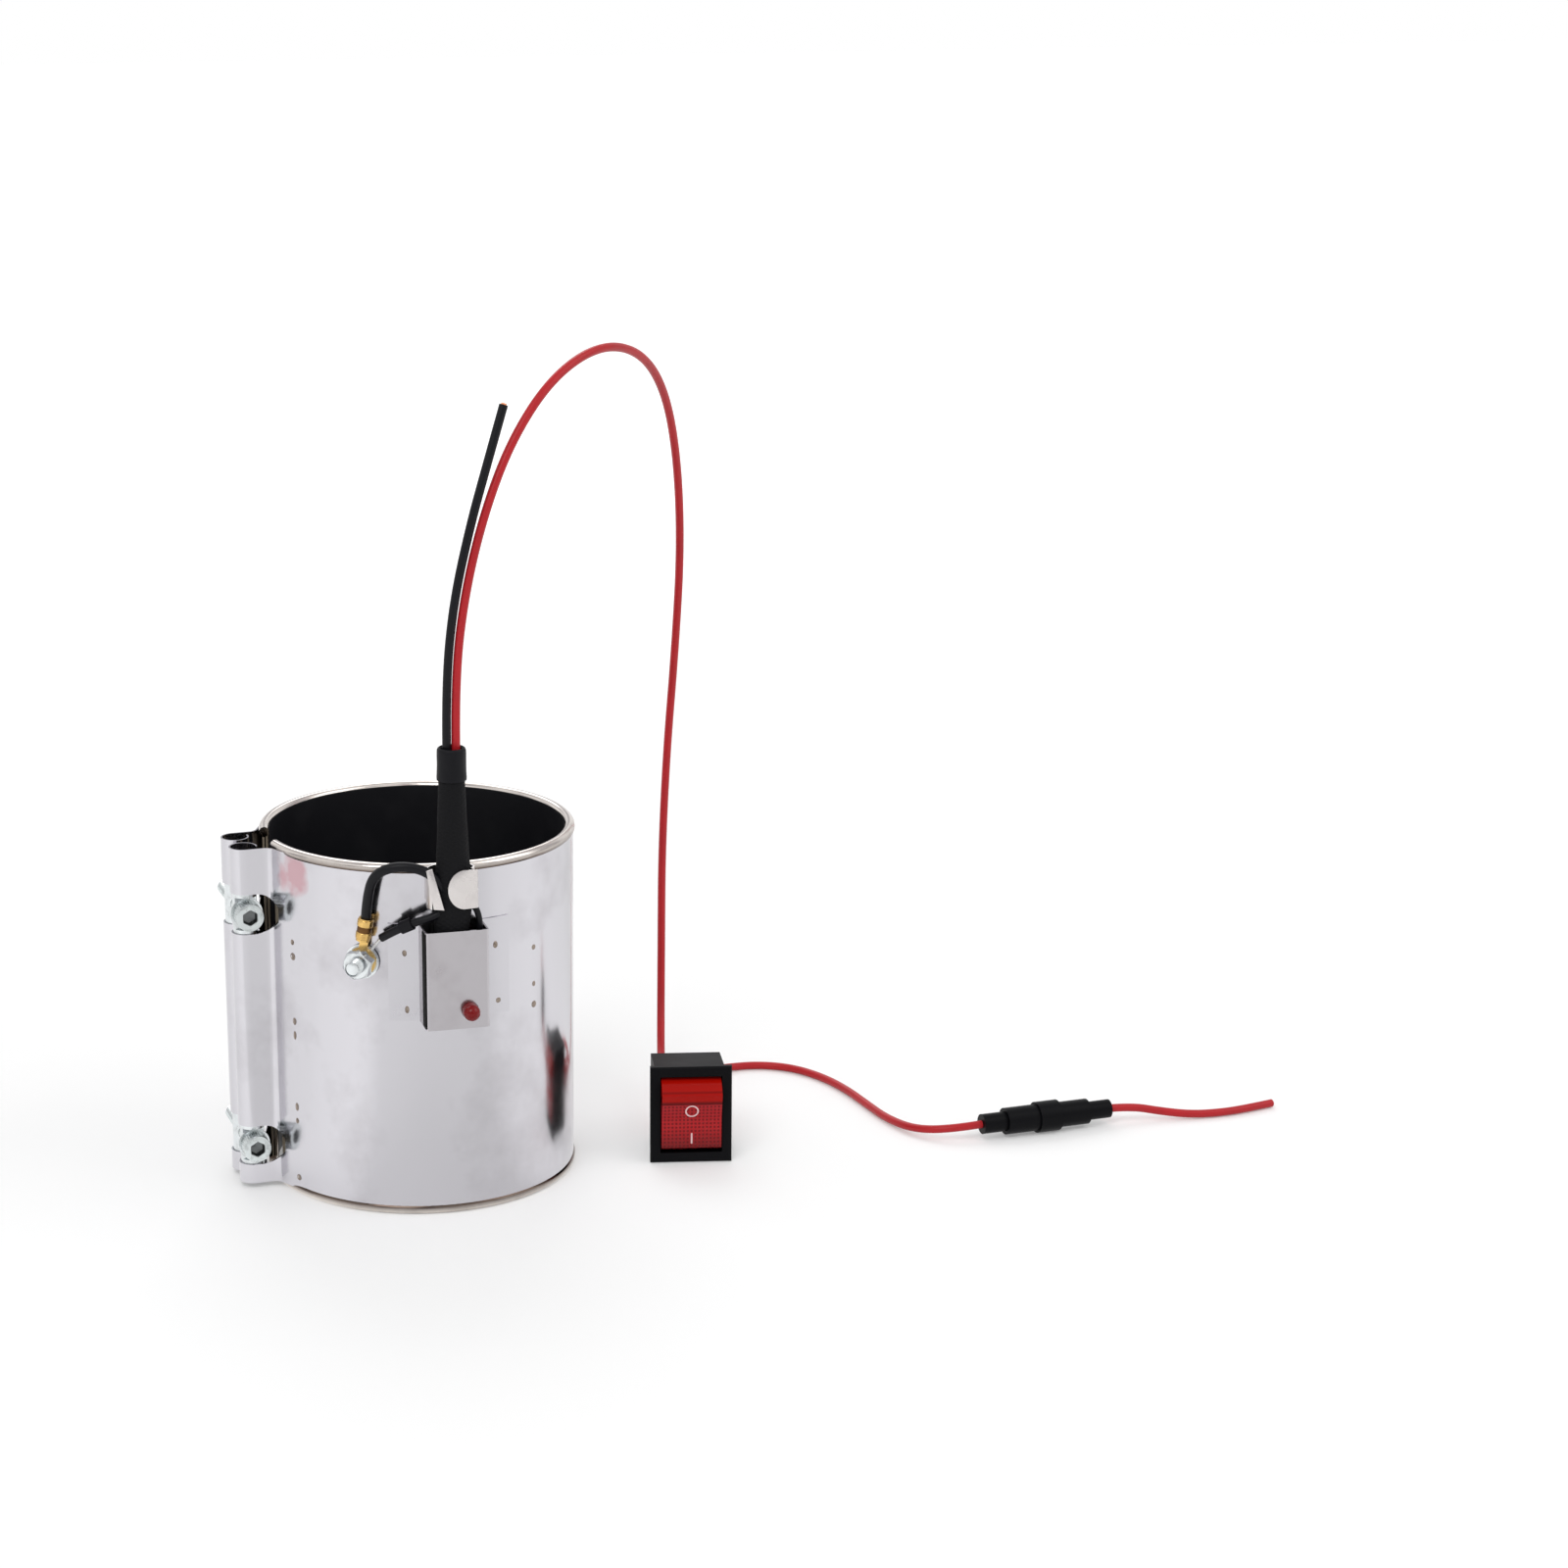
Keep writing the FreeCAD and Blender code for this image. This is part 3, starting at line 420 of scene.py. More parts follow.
sleeve_rings = [
    (86.0, 4.5, 3.6, -0.9), (90.0, 4.9, 3.8, -0.8), (94.0, 5.4, 4.0, -0.4), (98.0, 5.7, 4.2, 0.0),
    (104.0, 5.5, 4.2, 0.1), (111.0, 5.0, 4.2, 0.1), (118.0, 4.6, 4.1, 0.0), (126.0, 4.25, 4.0, 0.0),
    (134.0, 3.95, 3.9, 0.0), (140.0, 3.8, 3.8, 0.0), (145.6, 3.75, 3.75, 0.0)]


def pick(piece, test):
    """Select the corners of a piece in edit mode whose place passes a test."""
    bpy.ops.mesh.select_all(action="DESELECT")
    tissue = bmesh.from_edit_mesh(piece.data)
    for corner in tissue.verts:
        corner.select = test(corner.co)
    tissue.select_flush_mode()
    bmesh.update_edit_mesh(piece.data)


def ringed_tube(rings, middle_y, vertices=48):
    """An open tube that is widened ring by ring: height, half-width, half-depth and shift in mm."""
    first_z = rings[0][0]
    last_z = rings[-1][0]
    bpy.ops.mesh.primitive_cylinder_add(
        vertices=vertices, radius=1 * MM, depth=(last_z - first_z) * MM, end_fill_type="NOTHING",
        location=(0, middle_y * MM, (first_z + last_z) / 2 * MM))
    tube = bpy.context.object
    bpy.ops.object.transform_apply(location=True)
    bpy.ops.object.mode_set(mode="EDIT")
    for z, width, depth, shift in rings[1:-1]:
        bpy.ops.mesh.select_all(action="SELECT")
        bpy.ops.mesh.bisect(plane_co=(0, 0, z * MM), plane_no=(0, 0, 1))
    for z, width, depth, shift in rings:
        pick(tube, lambda place: abs(place.z - z * MM) < 0.01 * MM)
        bpy.ops.transform.resize(value=(width, depth, 1), center_override=(0, middle_y * MM, z * MM))
        bpy.ops.transform.translate(value=(shift * MM, 0, 0))
    bpy.ops.object.mode_set(mode="OBJECT")
    return tube


def finish_with(piece, kind, **settings):
    """Add a modifier with its settings and apply it."""
    only(piece)
    step = piece.modifiers.new(kind.lower(), kind)
    for setting, value in settings.items():
        setattr(step, setting, value)
    bpy.ops.object.modifier_apply(modifier=step.name)


def creased_tube(name, tube, crease_size, crease_depth, wall):
    """Smooth a ringed tube, crease it a little and give it its wall."""
    finish_with(tube, "SUBSURF", levels=2, render_levels=2)
    creases = bpy.data.textures.new(name + "_creases", "CLOUDS")
    creases.noise_scale = crease_size
    finish_with(tube, "DISPLACE", texture=creases, strength=crease_depth * MM, mid_level=0.5)
    finish_with(tube, "SOLIDIFY", thickness=wall * MM, offset=-1)
    tube.name = name
    return tube


front_place = Matrix.Rotation(front_turn, 4, "Z")
woven_sleeve = creased_tube("woven_sleeve", ringed_tube(sleeve_rings, sleeve_middle_y), 0.006, 0.35, 0.6)
sleeve_fibre, sleeve_tree, sleeve_shader, fibre_skin = skinned(
    "sleeve_fibre", moulded_skin,
    {"Color": (0.007, 0.007, 0.008, 1), "Grain": 500.0, "Gloss": 0.62, "Spread": 0.2},
    {"Specular IOR Level": 0.12})
weave_place = add_node(sleeve_tree, "TexCoord").outputs["Object"]
weave_ways = []
for lean in (0.6, -0.6):
    turn = add_node(sleeve_tree, "Mapping", {"Vector": weave_place, "Rotation": (0, lean, 0)})
    wave = add_node(sleeve_tree, "TexWave", {"Vector": turn.outputs[0], "Scale": 260},
                    bands_direction="Z")
    weave_ways.append(wave.outputs["Fac"])
weave = math_step(sleeve_tree, "MAXIMUM", *weave_ways)
join_bump(sleeve_tree, sleeve_shader, math_step(sleeve_tree, "ADD", weave, fibre_skin.outputs["Height"]),
          0.12 * MM)
set_down(woven_sleeve, front_place, sleeve_fibre, 60)
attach(woven_sleeve, "heater")
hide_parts("cable_sleeve")

# The shrink collar that closes the sleeve's upper end round the pair: smooth tube, drawn in a little
# under its lower edge, with a rolled upper lip.

collar_rings = [
    (136.4, 4.35, 4.35, 0.0), (137.2, 4.45, 4.45, 0.0), (139.0, 4.3, 4.3, 0.0), (142.0, 4.25, 4.25, 0.0),
    (144.6, 4.3, 4.3, 0.0), (145.7, 4.2, 4.2, 0.0), (146.0, 3.7, 3.7, 0.0)]
shrink_rubber = moulded_material("shrink_rubber", (0.005, 0.005, 0.007), 500.0, 0.4, 0.2, specular=0.16)
shrunk_collar = creased_tube("shrunk_collar", ringed_tube(collar_rings, sleeve_middle_y, 40), 0.004, 0.15,
                             0.5)
set_down(shrunk_collar, front_place, shrink_rubber, 60)
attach(shrunk_collar, "heater")
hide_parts("shrink_collar")
dress("link_splice", shrink_rubber)

# The metal of the heater: thin polished stainless sheet with handling smudges, rolled and spot-welded.
# Near the seam the welding heat has tinted it pink.


def build_scuffed_metal():
    """Cloudy smudges and the slow waves of thin polished sheet."""
    group, start, end = node_group(
        "scuffed_metal",
        [("Color", "NodeSocketColor", (0.7, 0.7, 0.7, 1)),
         ("Smudge Color", "NodeSocketColor", (0.5, 0.5, 0.5, 1)),
         ("Smudge", "NodeSocketFloat", 0.5), ("Scale", "NodeSocketFloat", 30.0),
         ("Gloss", "NodeSocketFloat", 0.2), ("Spread", "NodeSocketFloat", 0.2)],
        [("Color", "NodeSocketColor"), ("Roughness", "NodeSocketFloat"), ("Height", "NodeSocketFloat")])
    place = add_node(group, "TexCoord").outputs["Object"]
    cloud = add_node(group, "TexNoise", {"Vector": place, "Scale": start.outputs["Scale"], "Detail": 6,
                                         "Roughness": 0.62})
    cloud_mask = add_node(group, "MapRange", {"Value": cloud.outputs["Fac"], "From Min": 0.5,
                                              "From Max": 0.8}).outputs[0]
    amount = math_step(group, "MULTIPLY", cloud_mask, start.outputs["Smudge"])
    mix = add_node(group, "Mix", {"Factor": amount, 6: start.outputs["Color"],
                                  7: start.outputs["Smudge Color"]}, data_type="RGBA")
    waves = add_node(group, "TexNoise", {"Vector": place, "Scale": 28, "Detail": 0})
    rough = math_step(group, "MULTIPLY_ADD", cloud_mask, start.outputs["Spread"], start.outputs["Gloss"])
    fill(group, end, {"Color": mix.outputs[2], "Roughness": rough, "Height": waves.outputs["Fac"]})
    return group


scuffed_metal = build_scuffed_metal()


def metal_material(name, color, smudge_color, smudge=0.5, scale=30.0, gloss=0.15, spread=0.2,
                   depth=0.02 * MM):
    """A metal finish with its own colour, smudges and gloss."""
    made, tree, shader, skin = skinned(
        name, scuffed_metal, {"Color": (*color, 1), "Smudge Color": (*smudge_color, 1),
                              "Smudge": smudge, "Scale": scale, "Gloss": gloss, "Spread": spread},
        {"Metallic": 1.0})
    join_bump(tree, shader, skin.outputs["Height"], depth)
    return made


def overlay(tree, color, amount):
    """Lay a colour over a material's base colour, as much as a socket says."""
    shader = tree.nodes["Principled BSDF"]
    under = shader.inputs["Base Color"].links[0].from_socket
    mix = add_node(tree, "Mix", {"Factor": amount, 6: under, 7: (*color, 1)}, data_type="RGBA")
    fill(tree, shader, {"Base Color": mix.outputs[2]})


band_steel = metal_material("band_steel", (0.58, 0.57, 0.60), (0.34, 0.32, 0.34), 0.6, 24.0, 0.13, 0.2,
                            0.15 * MM)
band_tree = band_steel.node_tree
heat_place = add_node(band_tree, "TexCoord").outputs["Object"]
heat_centre = add_node(band_tree, "Mapping", vector_type="TEXTURE")
fill(band_tree, heat_centre, {"Vector": heat_place, "Location": (-44.0 * MM, -19.0 * MM, 102.5 * MM),
                              "Scale": (12 * MM, 12 * MM, 11 * MM)})
heat_ball = add_node(band_tree, "TexGradient", {"Vector": heat_centre.outputs[0]},
                     gradient_type="SPHERICAL")
heat_breaks = add_node(band_tree, "TexNoise", {"Vector": heat_place, "Scale": 150, "Detail": 5})
heat_amount = math_step(band_tree, "MULTIPLY", heat_ball.outputs["Fac"], heat_breaks.outputs["Fac"])
heat_limit = add_node(band_tree, "MapRange", {"Value": heat_amount, "From Min": 0.17, "From Max": 0.30,
                                              "To Max": 0.75})
overlay(band_tree, (0.50, 0.27, 0.30), heat_limit.outputs[0])
dress("clamp_band", band_steel)

# Spot welds: each a small ring pressed into the sheet with a burnt middle. They stand in columns that
# fasten the rolled loops, and on the hood's two flanges.

weld_steel = metal_material("weld_steel", (0.30, 0.25, 0.21), (0.08, 0.05, 0.03), 1.0, 600.0, 0.3, 0.3)
clamp_outer_radius = 47.7
flange_radius = clamp_outer_radius + 0.5
leg_radius = clamp_outer_radius + 0.17
weld_places = [
    (249.6, 83.0, flange_radius), (250.2, 65.5, flange_radius), (282.6, 83.5, flange_radius),
    (283.6, 66.0, flange_radius),
    (300.5, 79.5, clamp_outer_radius), (300.5, 68.0, clamp_outer_radius), (300.5, 61.5, clamp_outer_radius)]
for angle, heights in ((202.6, (81.0, 76.5, 56.0, 51.5, 28.5, 24.0, 5.5)),
                       (157.4, (81.0, 76.5, 56.0, 51.5, 28.5, 24.0))):
    weld_places += [(angle, height, leg_radius) for height in heights]
weld_radius = 1.05 * MM
weld_rise = 0.12 * MM
weld_dip = 0.09 * MM
bpy.ops.mesh.primitive_circle_add(vertices=16, radius=weld_radius, fill_type="NGON")
first_weld = bpy.context.object
bpy.ops.object.mode_set(mode="EDIT")
bpy.ops.mesh.select_all(action="SELECT")
bpy.ops.mesh.extrude_region_move(TRANSFORM_OT_translate={"value": (0, 0, weld_rise)})
bpy.ops.transform.resize(value=(0.86, 0.86, 1))
bpy.ops.mesh.inset(thickness=0.28 * MM)
bpy.ops.transform.translate(value=(0, 0, -weld_dip))
bpy.ops.object.mode_set(mode="OBJECT")
welds = []
for angle, height, radius in weld_places:
    only(first_weld)
    bpy.ops.object.duplicate()
    weld = bpy.context.object
    turn = math.radians(angle)
    reach = (radius - 0.03) * MM
    weld.rotation_euler = (0, math.radians(90), turn)
    weld.scale = (1.0 + random.uniform(-0.2, 0.35), 1.0 + random.uniform(-0.4, 0.05), 1)
    weld.location = (reach * math.cos(turn), reach * math.sin(turn), height * MM)
    welds.append(weld)
bpy.data.objects.remove(first_weld)
spot_welds = joined(welds, "spot_welds")
set_down(spot_welds, Matrix.Identity(4), weld_steel)
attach(spot_welds, "heater")

# The inner sleeve of the bore: its wall is coated black, and only the rims that are rolled over the
# band at its two ends stay bright, with painted shade and dirt in dark brown under each roll.

bore_radius = 45.0 * MM
band_height = 110.0 * MM
sheet = 0.5 * MM
rim_roll = 1.6 * MM
wall_end = band_height / 2 - rim_roll * 0.7
fold_end = band_height / 2 - rim_roll * 0.55
lined_steel = metal_material("lined_steel", (0.68, 0.63, 0.59), (0.34, 0.29, 0.26), 0.6, 70.0, 0.14, 0.2,
                             0.05 * MM)
lined_tree = lined_steel.node_tree
lined_shader = lined_tree.nodes["Principled BSDF"]


def from_axis(tree):
    """How far a point of a surface lies from the bore's axis."""
    place = add_node(tree, "TexCoord").outputs["Object"]
    flat = add_node(tree, "VectorMath", {0: place, 1: (1, 1, 0)}, operation="MULTIPLY")
    return add_node(tree, "VectorMath", {0: flat.outputs[0]}, operation="LENGTH").outputs["Value"]


lined_radius = from_axis(lined_tree)
lined_place = add_node(lined_tree, "TexCoord").outputs["Object"]
lined_height = add_node(lined_tree, "SeparateXYZ", {0: lined_place}).outputs["Z"]
from_middle = math_step(lined_tree, "ABSOLUTE",
                        math_step(lined_tree, "SUBTRACT", lined_height, band_height / 2))
on_wall = math_step(lined_tree, "LESS_THAN", lined_radius, bore_radius + sheet / 2)
between_rims = math_step(lined_tree, "LESS_THAN", from_middle, wall_end)
coated = math_step(lined_tree, "MULTIPLY", on_wall, between_rims)
under_roll = math_step(lined_tree, "SUBTRACT", fold_end, from_middle)
roll_shade_and_dirt = add_node(lined_tree, "Math", {0: under_roll, 1: 1 / rim_roll}, operation="MULTIPLY",
                   use_clamp=True)
at_edge = math_step(lined_tree, "GREATER_THAN", lined_radius, bore_radius + sheet * 2)
# Painted shade and dirt: the outer underside of each rolled rim darkens to dark brown.
overlay(lined_tree, (0.10, 0.07, 0.055), math_step(lined_tree, "MULTIPLY", roll_shade_and_dirt.outputs[0], at_edge))
overlay(lined_tree, (0.006, 0.006, 0.008), coated)
steel_rough = lined_shader.inputs["Roughness"].links[0].from_socket
fill(lined_tree, lined_shader, {
    "Metallic": math_step(lined_tree, "SUBTRACT", 1.0, coated), "Specular IOR Level": 0.3,
    "Roughness": math_step(lined_tree, "MULTIPLY_ADD", coated, 0.3, steel_rough)})
seam_from = 171.5
seam_to = 188.5


def open_seam(piece):
    """Cut the clamp seam's gap out of a round piece, at -X."""
    only(piece)
    bpy.ops.object.mode_set(mode="EDIT")
    pick(piece, lambda place: seam_from < math.degrees(math.atan2(place.y, place.x)) % 360 < seam_to)
    bpy.ops.mesh.delete(type="VERT")
    bpy.ops.object.mode_set(mode="OBJECT")


bpy.ops.mesh.primitive_cylinder_add(vertices=120, radius=bore_radius, depth=band_height - 2 * rim_roll,
                                    end_fill_type="NOTHING", location=(0, 0, band_height / 2))
bore_wall = bpy.context.object
bpy.ops.object.transform_apply(location=True)
open_seam(bore_wall)
finish_with(bore_wall, "SOLIDIFY", thickness=sheet, offset=1)
rims = []
for height in (rim_roll, band_height - rim_roll):
    bpy.ops.mesh.primitive_torus_add(
        major_segments=120, minor_segments=20, major_radius=bore_radius + rim_roll,
        minor_radius=rim_roll, location=(0, 0, height))
    rim = bpy.context.object
    bpy.ops.object.transform_apply(location=True)
    open_seam(rim)
    bpy.ops.object.mode_set(mode="EDIT")
    bpy.ops.mesh.select_all(action="DESELECT")
    bpy.ops.mesh.select_non_manifold()
    bpy.ops.mesh.fill_holes(sides=0)
    bpy.ops.mesh.select_all(action="SELECT")
    bpy.ops.mesh.normals_make_consistent(inside=False)
    bpy.ops.object.mode_set(mode="OBJECT")
    rims.append(rim)
rimmed_bore = joined([bore_wall] + rims, "rimmed_bore")
set_down(rimmed_bore, Matrix.Identity(4), lined_steel, 60)
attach(rimmed_bore, "heater")
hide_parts("inner_sleeve")

# The mica sheets and the ribbon wound between them: pressed mica and oxidised alloy, held between the
# inner sleeve and the band. They show only as thin edges at the open seam.

mica = moulded_material("pressed_mica", (0.22, 0.18, 0.13), 300.0, 0.5, 0.3, 0.05 * MM)
for node in ("mica_inner", "mica_outer"):
    dress(node, mica)
ribbon_alloy = metal_material("ribbon_alloy", (0.25, 0.22, 0.2), (0.1, 0.09, 0.08), 0.6, 90.0, 0.4)
dress("heating_ribbon", ribbon_alloy)

# The terminal hood: folded sheet like the band's, painted darker than the band as painted shade, with a
# thin black strip of painted shade in the open fold on its left side. Its two flanges lie flat on the band
# and are as bright as the band.

# The hood's sheet is a darker copy of the band's steel, as painted shade; the flange mask sets the flanges
# back to the band's tone.
hood_steel_shaded = metal_material("hood_steel_shaded", (0.47, 0.45, 0.47), (0.33, 0.30, 0.31), 0.4, 60.0, 0.17, 0.2)
hood_tree = hood_steel_shaded.node_tree
hood_flange = math_step(hood_tree, "LESS_THAN", from_axis(hood_tree), (flange_radius + 0.3) * MM)
overlay(hood_tree, (0.56, 0.55, 0.58), hood_flange)
dress("terminal_housing", hood_steel_shaded)
# A thin black strip on the hood's left side: painted shade in the open fold.
painted_shade_black = moulded_material("painted_shade_black", (0.006, 0.006, 0.006), 300.0, 0.7, 0.2, specular=0.2)
shade_strip_size = (0.3 * MM, 4.2 * MM, 29.2 * MM)
bpy.ops.mesh.primitive_cube_add(size=1)
painted_shade_strip = bpy.context.object
painted_shade_strip.scale = shade_strip_size
painted_shade_strip.location = (-9.55 * MM, -55.0 * MM, 77.1 * MM)
bpy.ops.object.transform_apply(location=True, rotation=True, scale=True)
finish_with(painted_shade_strip, "BEVEL", width=0.12 * MM, segments=2)
painted_shade_strip.name = "painted_shade_strip"
set_down(painted_shade_strip, front_place, painted_shade_black)
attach(painted_shade_strip, "heater")

# The strap that ties the sleeve to the band: a bent strip of satin sheet whose back is welded to the
# band. Its right end is a round tongue folded over the sleeve, its left end a slanted strip.

strap_steel = metal_material("strap_steel", (0.70, 0.665, 0.65), (0.5, 0.46, 0.45), 0.5, 90.0, 0.26, 0.2)
strap_low = 98.4 * MM
strap_high = 110.2 * MM
strap_sheet = 0.6 * MM
loop_middle = (-0.8 * MM, -52.2 * MM, (strap_high + strap_low) / 2)
loop_half_width = 6.9
loop_half_depth = 4.5
loop_front_y = -54.6 * MM
tongue_round = 5.9 * MM
tongue_edge = (6.3 * MM, -56.9 * MM, 104.4 * MM)
bpy.ops.mesh.primitive_cylinder_add(vertices=48, radius=1 * MM, depth=strap_high - strap_low,
                                    end_fill_type="NOTHING", location=loop_middle)
strap_loop = bpy.context.object
bpy.ops.object.transform_apply(location=True)
bpy.ops.object.mode_set(mode="EDIT")
bpy.ops.mesh.select_all(action="SELECT")
bpy.ops.transform.resize(value=(loop_half_width, loop_half_depth, 1), center_override=loop_middle)
bpy.ops.mesh.select_all(action="SELECT")
bpy.ops.mesh.bisect(plane_co=(0, loop_front_y, 0), plane_no=(0, -1, 0), clear_outer=True)
bpy.ops.object.mode_set(mode="OBJECT")
finish_with(strap_loop, "SOLIDIFY", thickness=strap_sheet, offset=0)

bpy.ops.mesh.primitive_circle_add(
    vertices=48, radius=tongue_round, fill_type="NGON", rotation=(math.radians(90), 0, 0),
    location=(2.0 * MM, tongue_edge[1], tongue_edge[2]))
strap_tongue = bpy.context.object
bpy.ops.object.transform_apply(location=True, rotation=True)
bpy.ops.object.mode_set(mode="EDIT")
pick(strap_tongue, lambda place: place.x > 3.4 * MM)
bpy.ops.transform.resize(value=(0, 1, 1), center_override=tongue_edge)
bpy.ops.mesh.select_all(action="SELECT")
bpy.ops.mesh.remove_doubles(threshold=0.005 * MM)
bpy.ops.mesh.select_all(action="SELECT")
bpy.ops.transform.resize(value=(0.86, 1, 1), center_override=tongue_edge)
bpy.ops.mesh.extrude_region_move(TRANSFORM_OT_translate={"value": (0, strap_sheet, 0)})
bpy.ops.mesh.select_all(action="DESELECT")
tissue = bmesh.from_edit_mesh(strap_tongue.data)
for side in tissue.faces:
    side.select = side.calc_center_median().x > tongue_edge[0] - 0.05 * MM
tissue.select_flush_mode()
bmesh.update_edit_mesh(strap_tongue.data)
for bend_x, bend_y in ((0.35, 0.9), (0.05, 1.4)):
    bpy.ops.mesh.extrude_region_move(TRANSFORM_OT_translate={"value": (bend_x * MM, bend_y * MM, 0)})
bpy.ops.mesh.select_all(action="SELECT")
bpy.ops.mesh.normals_make_consistent(inside=False)
bpy.ops.object.mode_set(mode="OBJECT")

bpy.ops.mesh.primitive_plane_add(size=1 * MM, rotation=(math.radians(90), 0, 0),
                                 location=(0, -56.6 * MM, 0))
strap_strip = bpy.context.object
bpy.ops.object.transform_apply(location=True, rotation=True)
strip_corners = [(-6.4, 98.6), (-3.6, 98.6), (-8.5, 110.4), (-6.7, 110.8)]
flat_corners = sorted(strap_strip.data.vertices, key=lambda corner: (round(corner.co.z, 5), corner.co.x))
for corner, (x, z) in zip(flat_corners, strip_corners):
    corner.co.x = x * MM
    corner.co.z = z * MM
    corner.co.y = (-56.6 if x > -6 else -55.2) * MM
finish_with(strap_strip, "SOLIDIFY", thickness=strap_sheet, offset=0)
sleeve_clip = joined([strap_loop, strap_tongue, strap_strip], "sleeve_clip")
finish_with(sleeve_clip, "BEVEL", width=0.12 * MM, segments=2, angle_limit=math.radians(40))
set_down(sleeve_clip, front_place, strap_steel)
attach(sleeve_clip, "heater")
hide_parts("sleeve_strap")

# The clamp screws: zinc-plated M5 socket-head cap screws with knurled heads and cut threads. Each one
# turns in its barrels on its own.

zinc_plate = metal_material("zinc_plate", (0.68, 0.71, 0.72), (0.34, 0.36, 0.34), 0.7, 260.0, 0.2, 0.25)
screw_zinc = metal_material("screw_zinc", (0.62, 0.66, 0.66), (0.22, 0.24, 0.23), 0.8, 300.0, 0.22, 0.25)
# Near-black metal for the faces inside each hex socket: painted shade in the recess.
socket_painted_shade = metal_material("socket_painted_shade", (0.16, 0.17, 0.17), (0.04, 0.04, 0.04), 0.9, 400.0, 0.35, 0.2)
thread_pitch = 0.8
screw_middle_x = -55.5
head_seat_y = -8.0


def threaded_rod(radius, length, start):
    """A cut thread in mm that runs up +Z from a start height, on a core with a chamfered end."""
    half = thread_pitch / 2 * MM
    turns = int(length / thread_pitch)
    bpy.ops.mesh.primitive_circle_add(vertices=4, radius=half, fill_type="NOTHING",
                                      rotation=(math.radians(90), 0, 0))
    crest = bpy.context.object
    bpy.ops.object.transform_apply(rotation=True)
    bpy.ops.object.mode_set(mode="EDIT")
    pick(crest, lambda place: place.x < -0.5 * half)
    bpy.ops.mesh.delete(type="VERT")
    bpy.ops.mesh.select_all(action="SELECT")
    bpy.ops.transform.resize(value=(1.05, 1, 1), center_override=(0, 0, 0))
    bpy.ops.transform.translate(value=(radius * MM - 1.05 * half, 0, start * MM + half))
    bpy.ops.object.mode_set(mode="OBJECT")
    finish_with(crest, "SCREW", axis="Z", screw_offset=thread_pitch * MM, iterations=turns, steps=24,
                render_steps=24, use_merge_vertices=True, merge_threshold=0.001 * MM)
    core_radius = radius * MM - 1.05 * half + 0.02 * MM
    bpy.ops.mesh.primitive_cylinder_add(vertices=24, radius=core_radius, depth=(length + 0.4) * MM,
                                        location=(0, 0, (start + length / 2 + 0.1) * MM))
    core = bpy.context.object
    finish_with(core, "BEVEL", width=0.3 * MM, segments=2, angle_limit=math.radians(60))
    return [crest, core]


def socket_head(radius, height, across_flats, depth):
    """A knurled screw head in mm that hangs down -Z from the origin, with a hexagonal socket."""
    corners = 64
    bpy.ops.mesh.primitive_cylinder_add(vertices=corners, radius=radius * MM, depth=height * MM,
                                        location=(0, 0, -height / 2 * MM))
    head = bpy.context.object
    bpy.ops.object.transform_apply(location=True)
    bpy.ops.object.mode_set(mode="EDIT")
    for level in (0.16, 0.84):
        bpy.ops.mesh.select_all(action="SELECT")
        bpy.ops.mesh.bisect(plane_co=(0, 0, -level * height * MM), plane_no=(0, 0, 1))

    def in_groove(place):
        turn = round(math.atan2(place.y, place.x) / math.tau * corners)
        return turn % 2 == 0 and -0.9 * height * MM < place.z < -0.1 * height * MM

    pick(head, in_groove)
    bpy.ops.transform.resize(value=(0.955, 0.955, 1), center_override=(0, 0, 0))
    bpy.ops.object.mode_set(mode="OBJECT")
    bpy.ops.mesh.primitive_cylinder_add(
        vertices=6, radius=across_flats / math.sqrt(3) * MM, depth=2 * depth * MM,
        location=(0, 0, -height * MM))
    key_space = bpy.context.object
    finish_with(head, "BOOLEAN", object=key_space, operation="DIFFERENCE", solver="EXACT")
    bpy.data.objects.remove(key_space)
    finish_with(head, "BEVEL", width=0.22 * MM, segments=2, limit_method="ANGLE",
                angle_limit=math.radians(50))
    return head


for place, height in (("lower", 14.0), ("upper", 88.0)):
    pieces = [socket_head(4.25, 5.0, 4.0, 2.6)] + threaded_rod(2.5, 29.6, 0.0)
    cap_screw = joined(pieces, place + "_socket_screw")
    set_down(cap_screw, along((0, 1, 0), (screw_middle_x, head_seat_y, height)), screw_zinc)
    # Faces deep inside the hex socket take the painted shade.
    cap_screw.data.materials.append(socket_painted_shade)
    for face in cap_screw.data.polygons:
        across = math.hypot(face.center.x / MM - screw_middle_x, face.center.z / MM - height)
        if across < 2.25 and face.center.y / MM < head_seat_y - 2.2:
            face.material_index = 1
    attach(cap_screw, place + "_screw")
    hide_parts(place + "_clamp_screw")
    for piece in ("_clamp_washer", "_head_barrel", "_nut_barrel"):
        dress(place + piece, zinc_plate)

# The earth stud: a threaded stud welded to the band, with its washer, a brass ring terminal and a nut.
# The terminal's barrel is crimped in two bands, with a groove between them painted dark as painted shade.

earth_turn = Matrix.Rotation(math.radians(-35.5), 4, "Z")
earth_height = 80.0
stud_pieces = threaded_rod(2.5, 8.0, 0.9)
earth_thread = joined(stud_pieces, "earth_thread")
set_down(earth_thread, earth_turn @ along((0, -1, 0), (0, -47.55, earth_height)), zinc_plate)
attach(earth_thread, "heater")
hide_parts("earth_stud")
for node in ("earth_washer", "earth_nut"):
    dress(node, zinc_plate)
tinned_strand = metal_material("tinned_strand", (0.7, 0.7, 0.7), (0.5, 0.5, 0.48), 0.5, 300.0, 0.3)
dress("link_tip", tinned_strand)
brass = metal_material("stamped_brass", (0.72, 0.47, 0.16), (0.35, 0.19, 0.06), 0.7, 240.0, 0.2, 0.25)
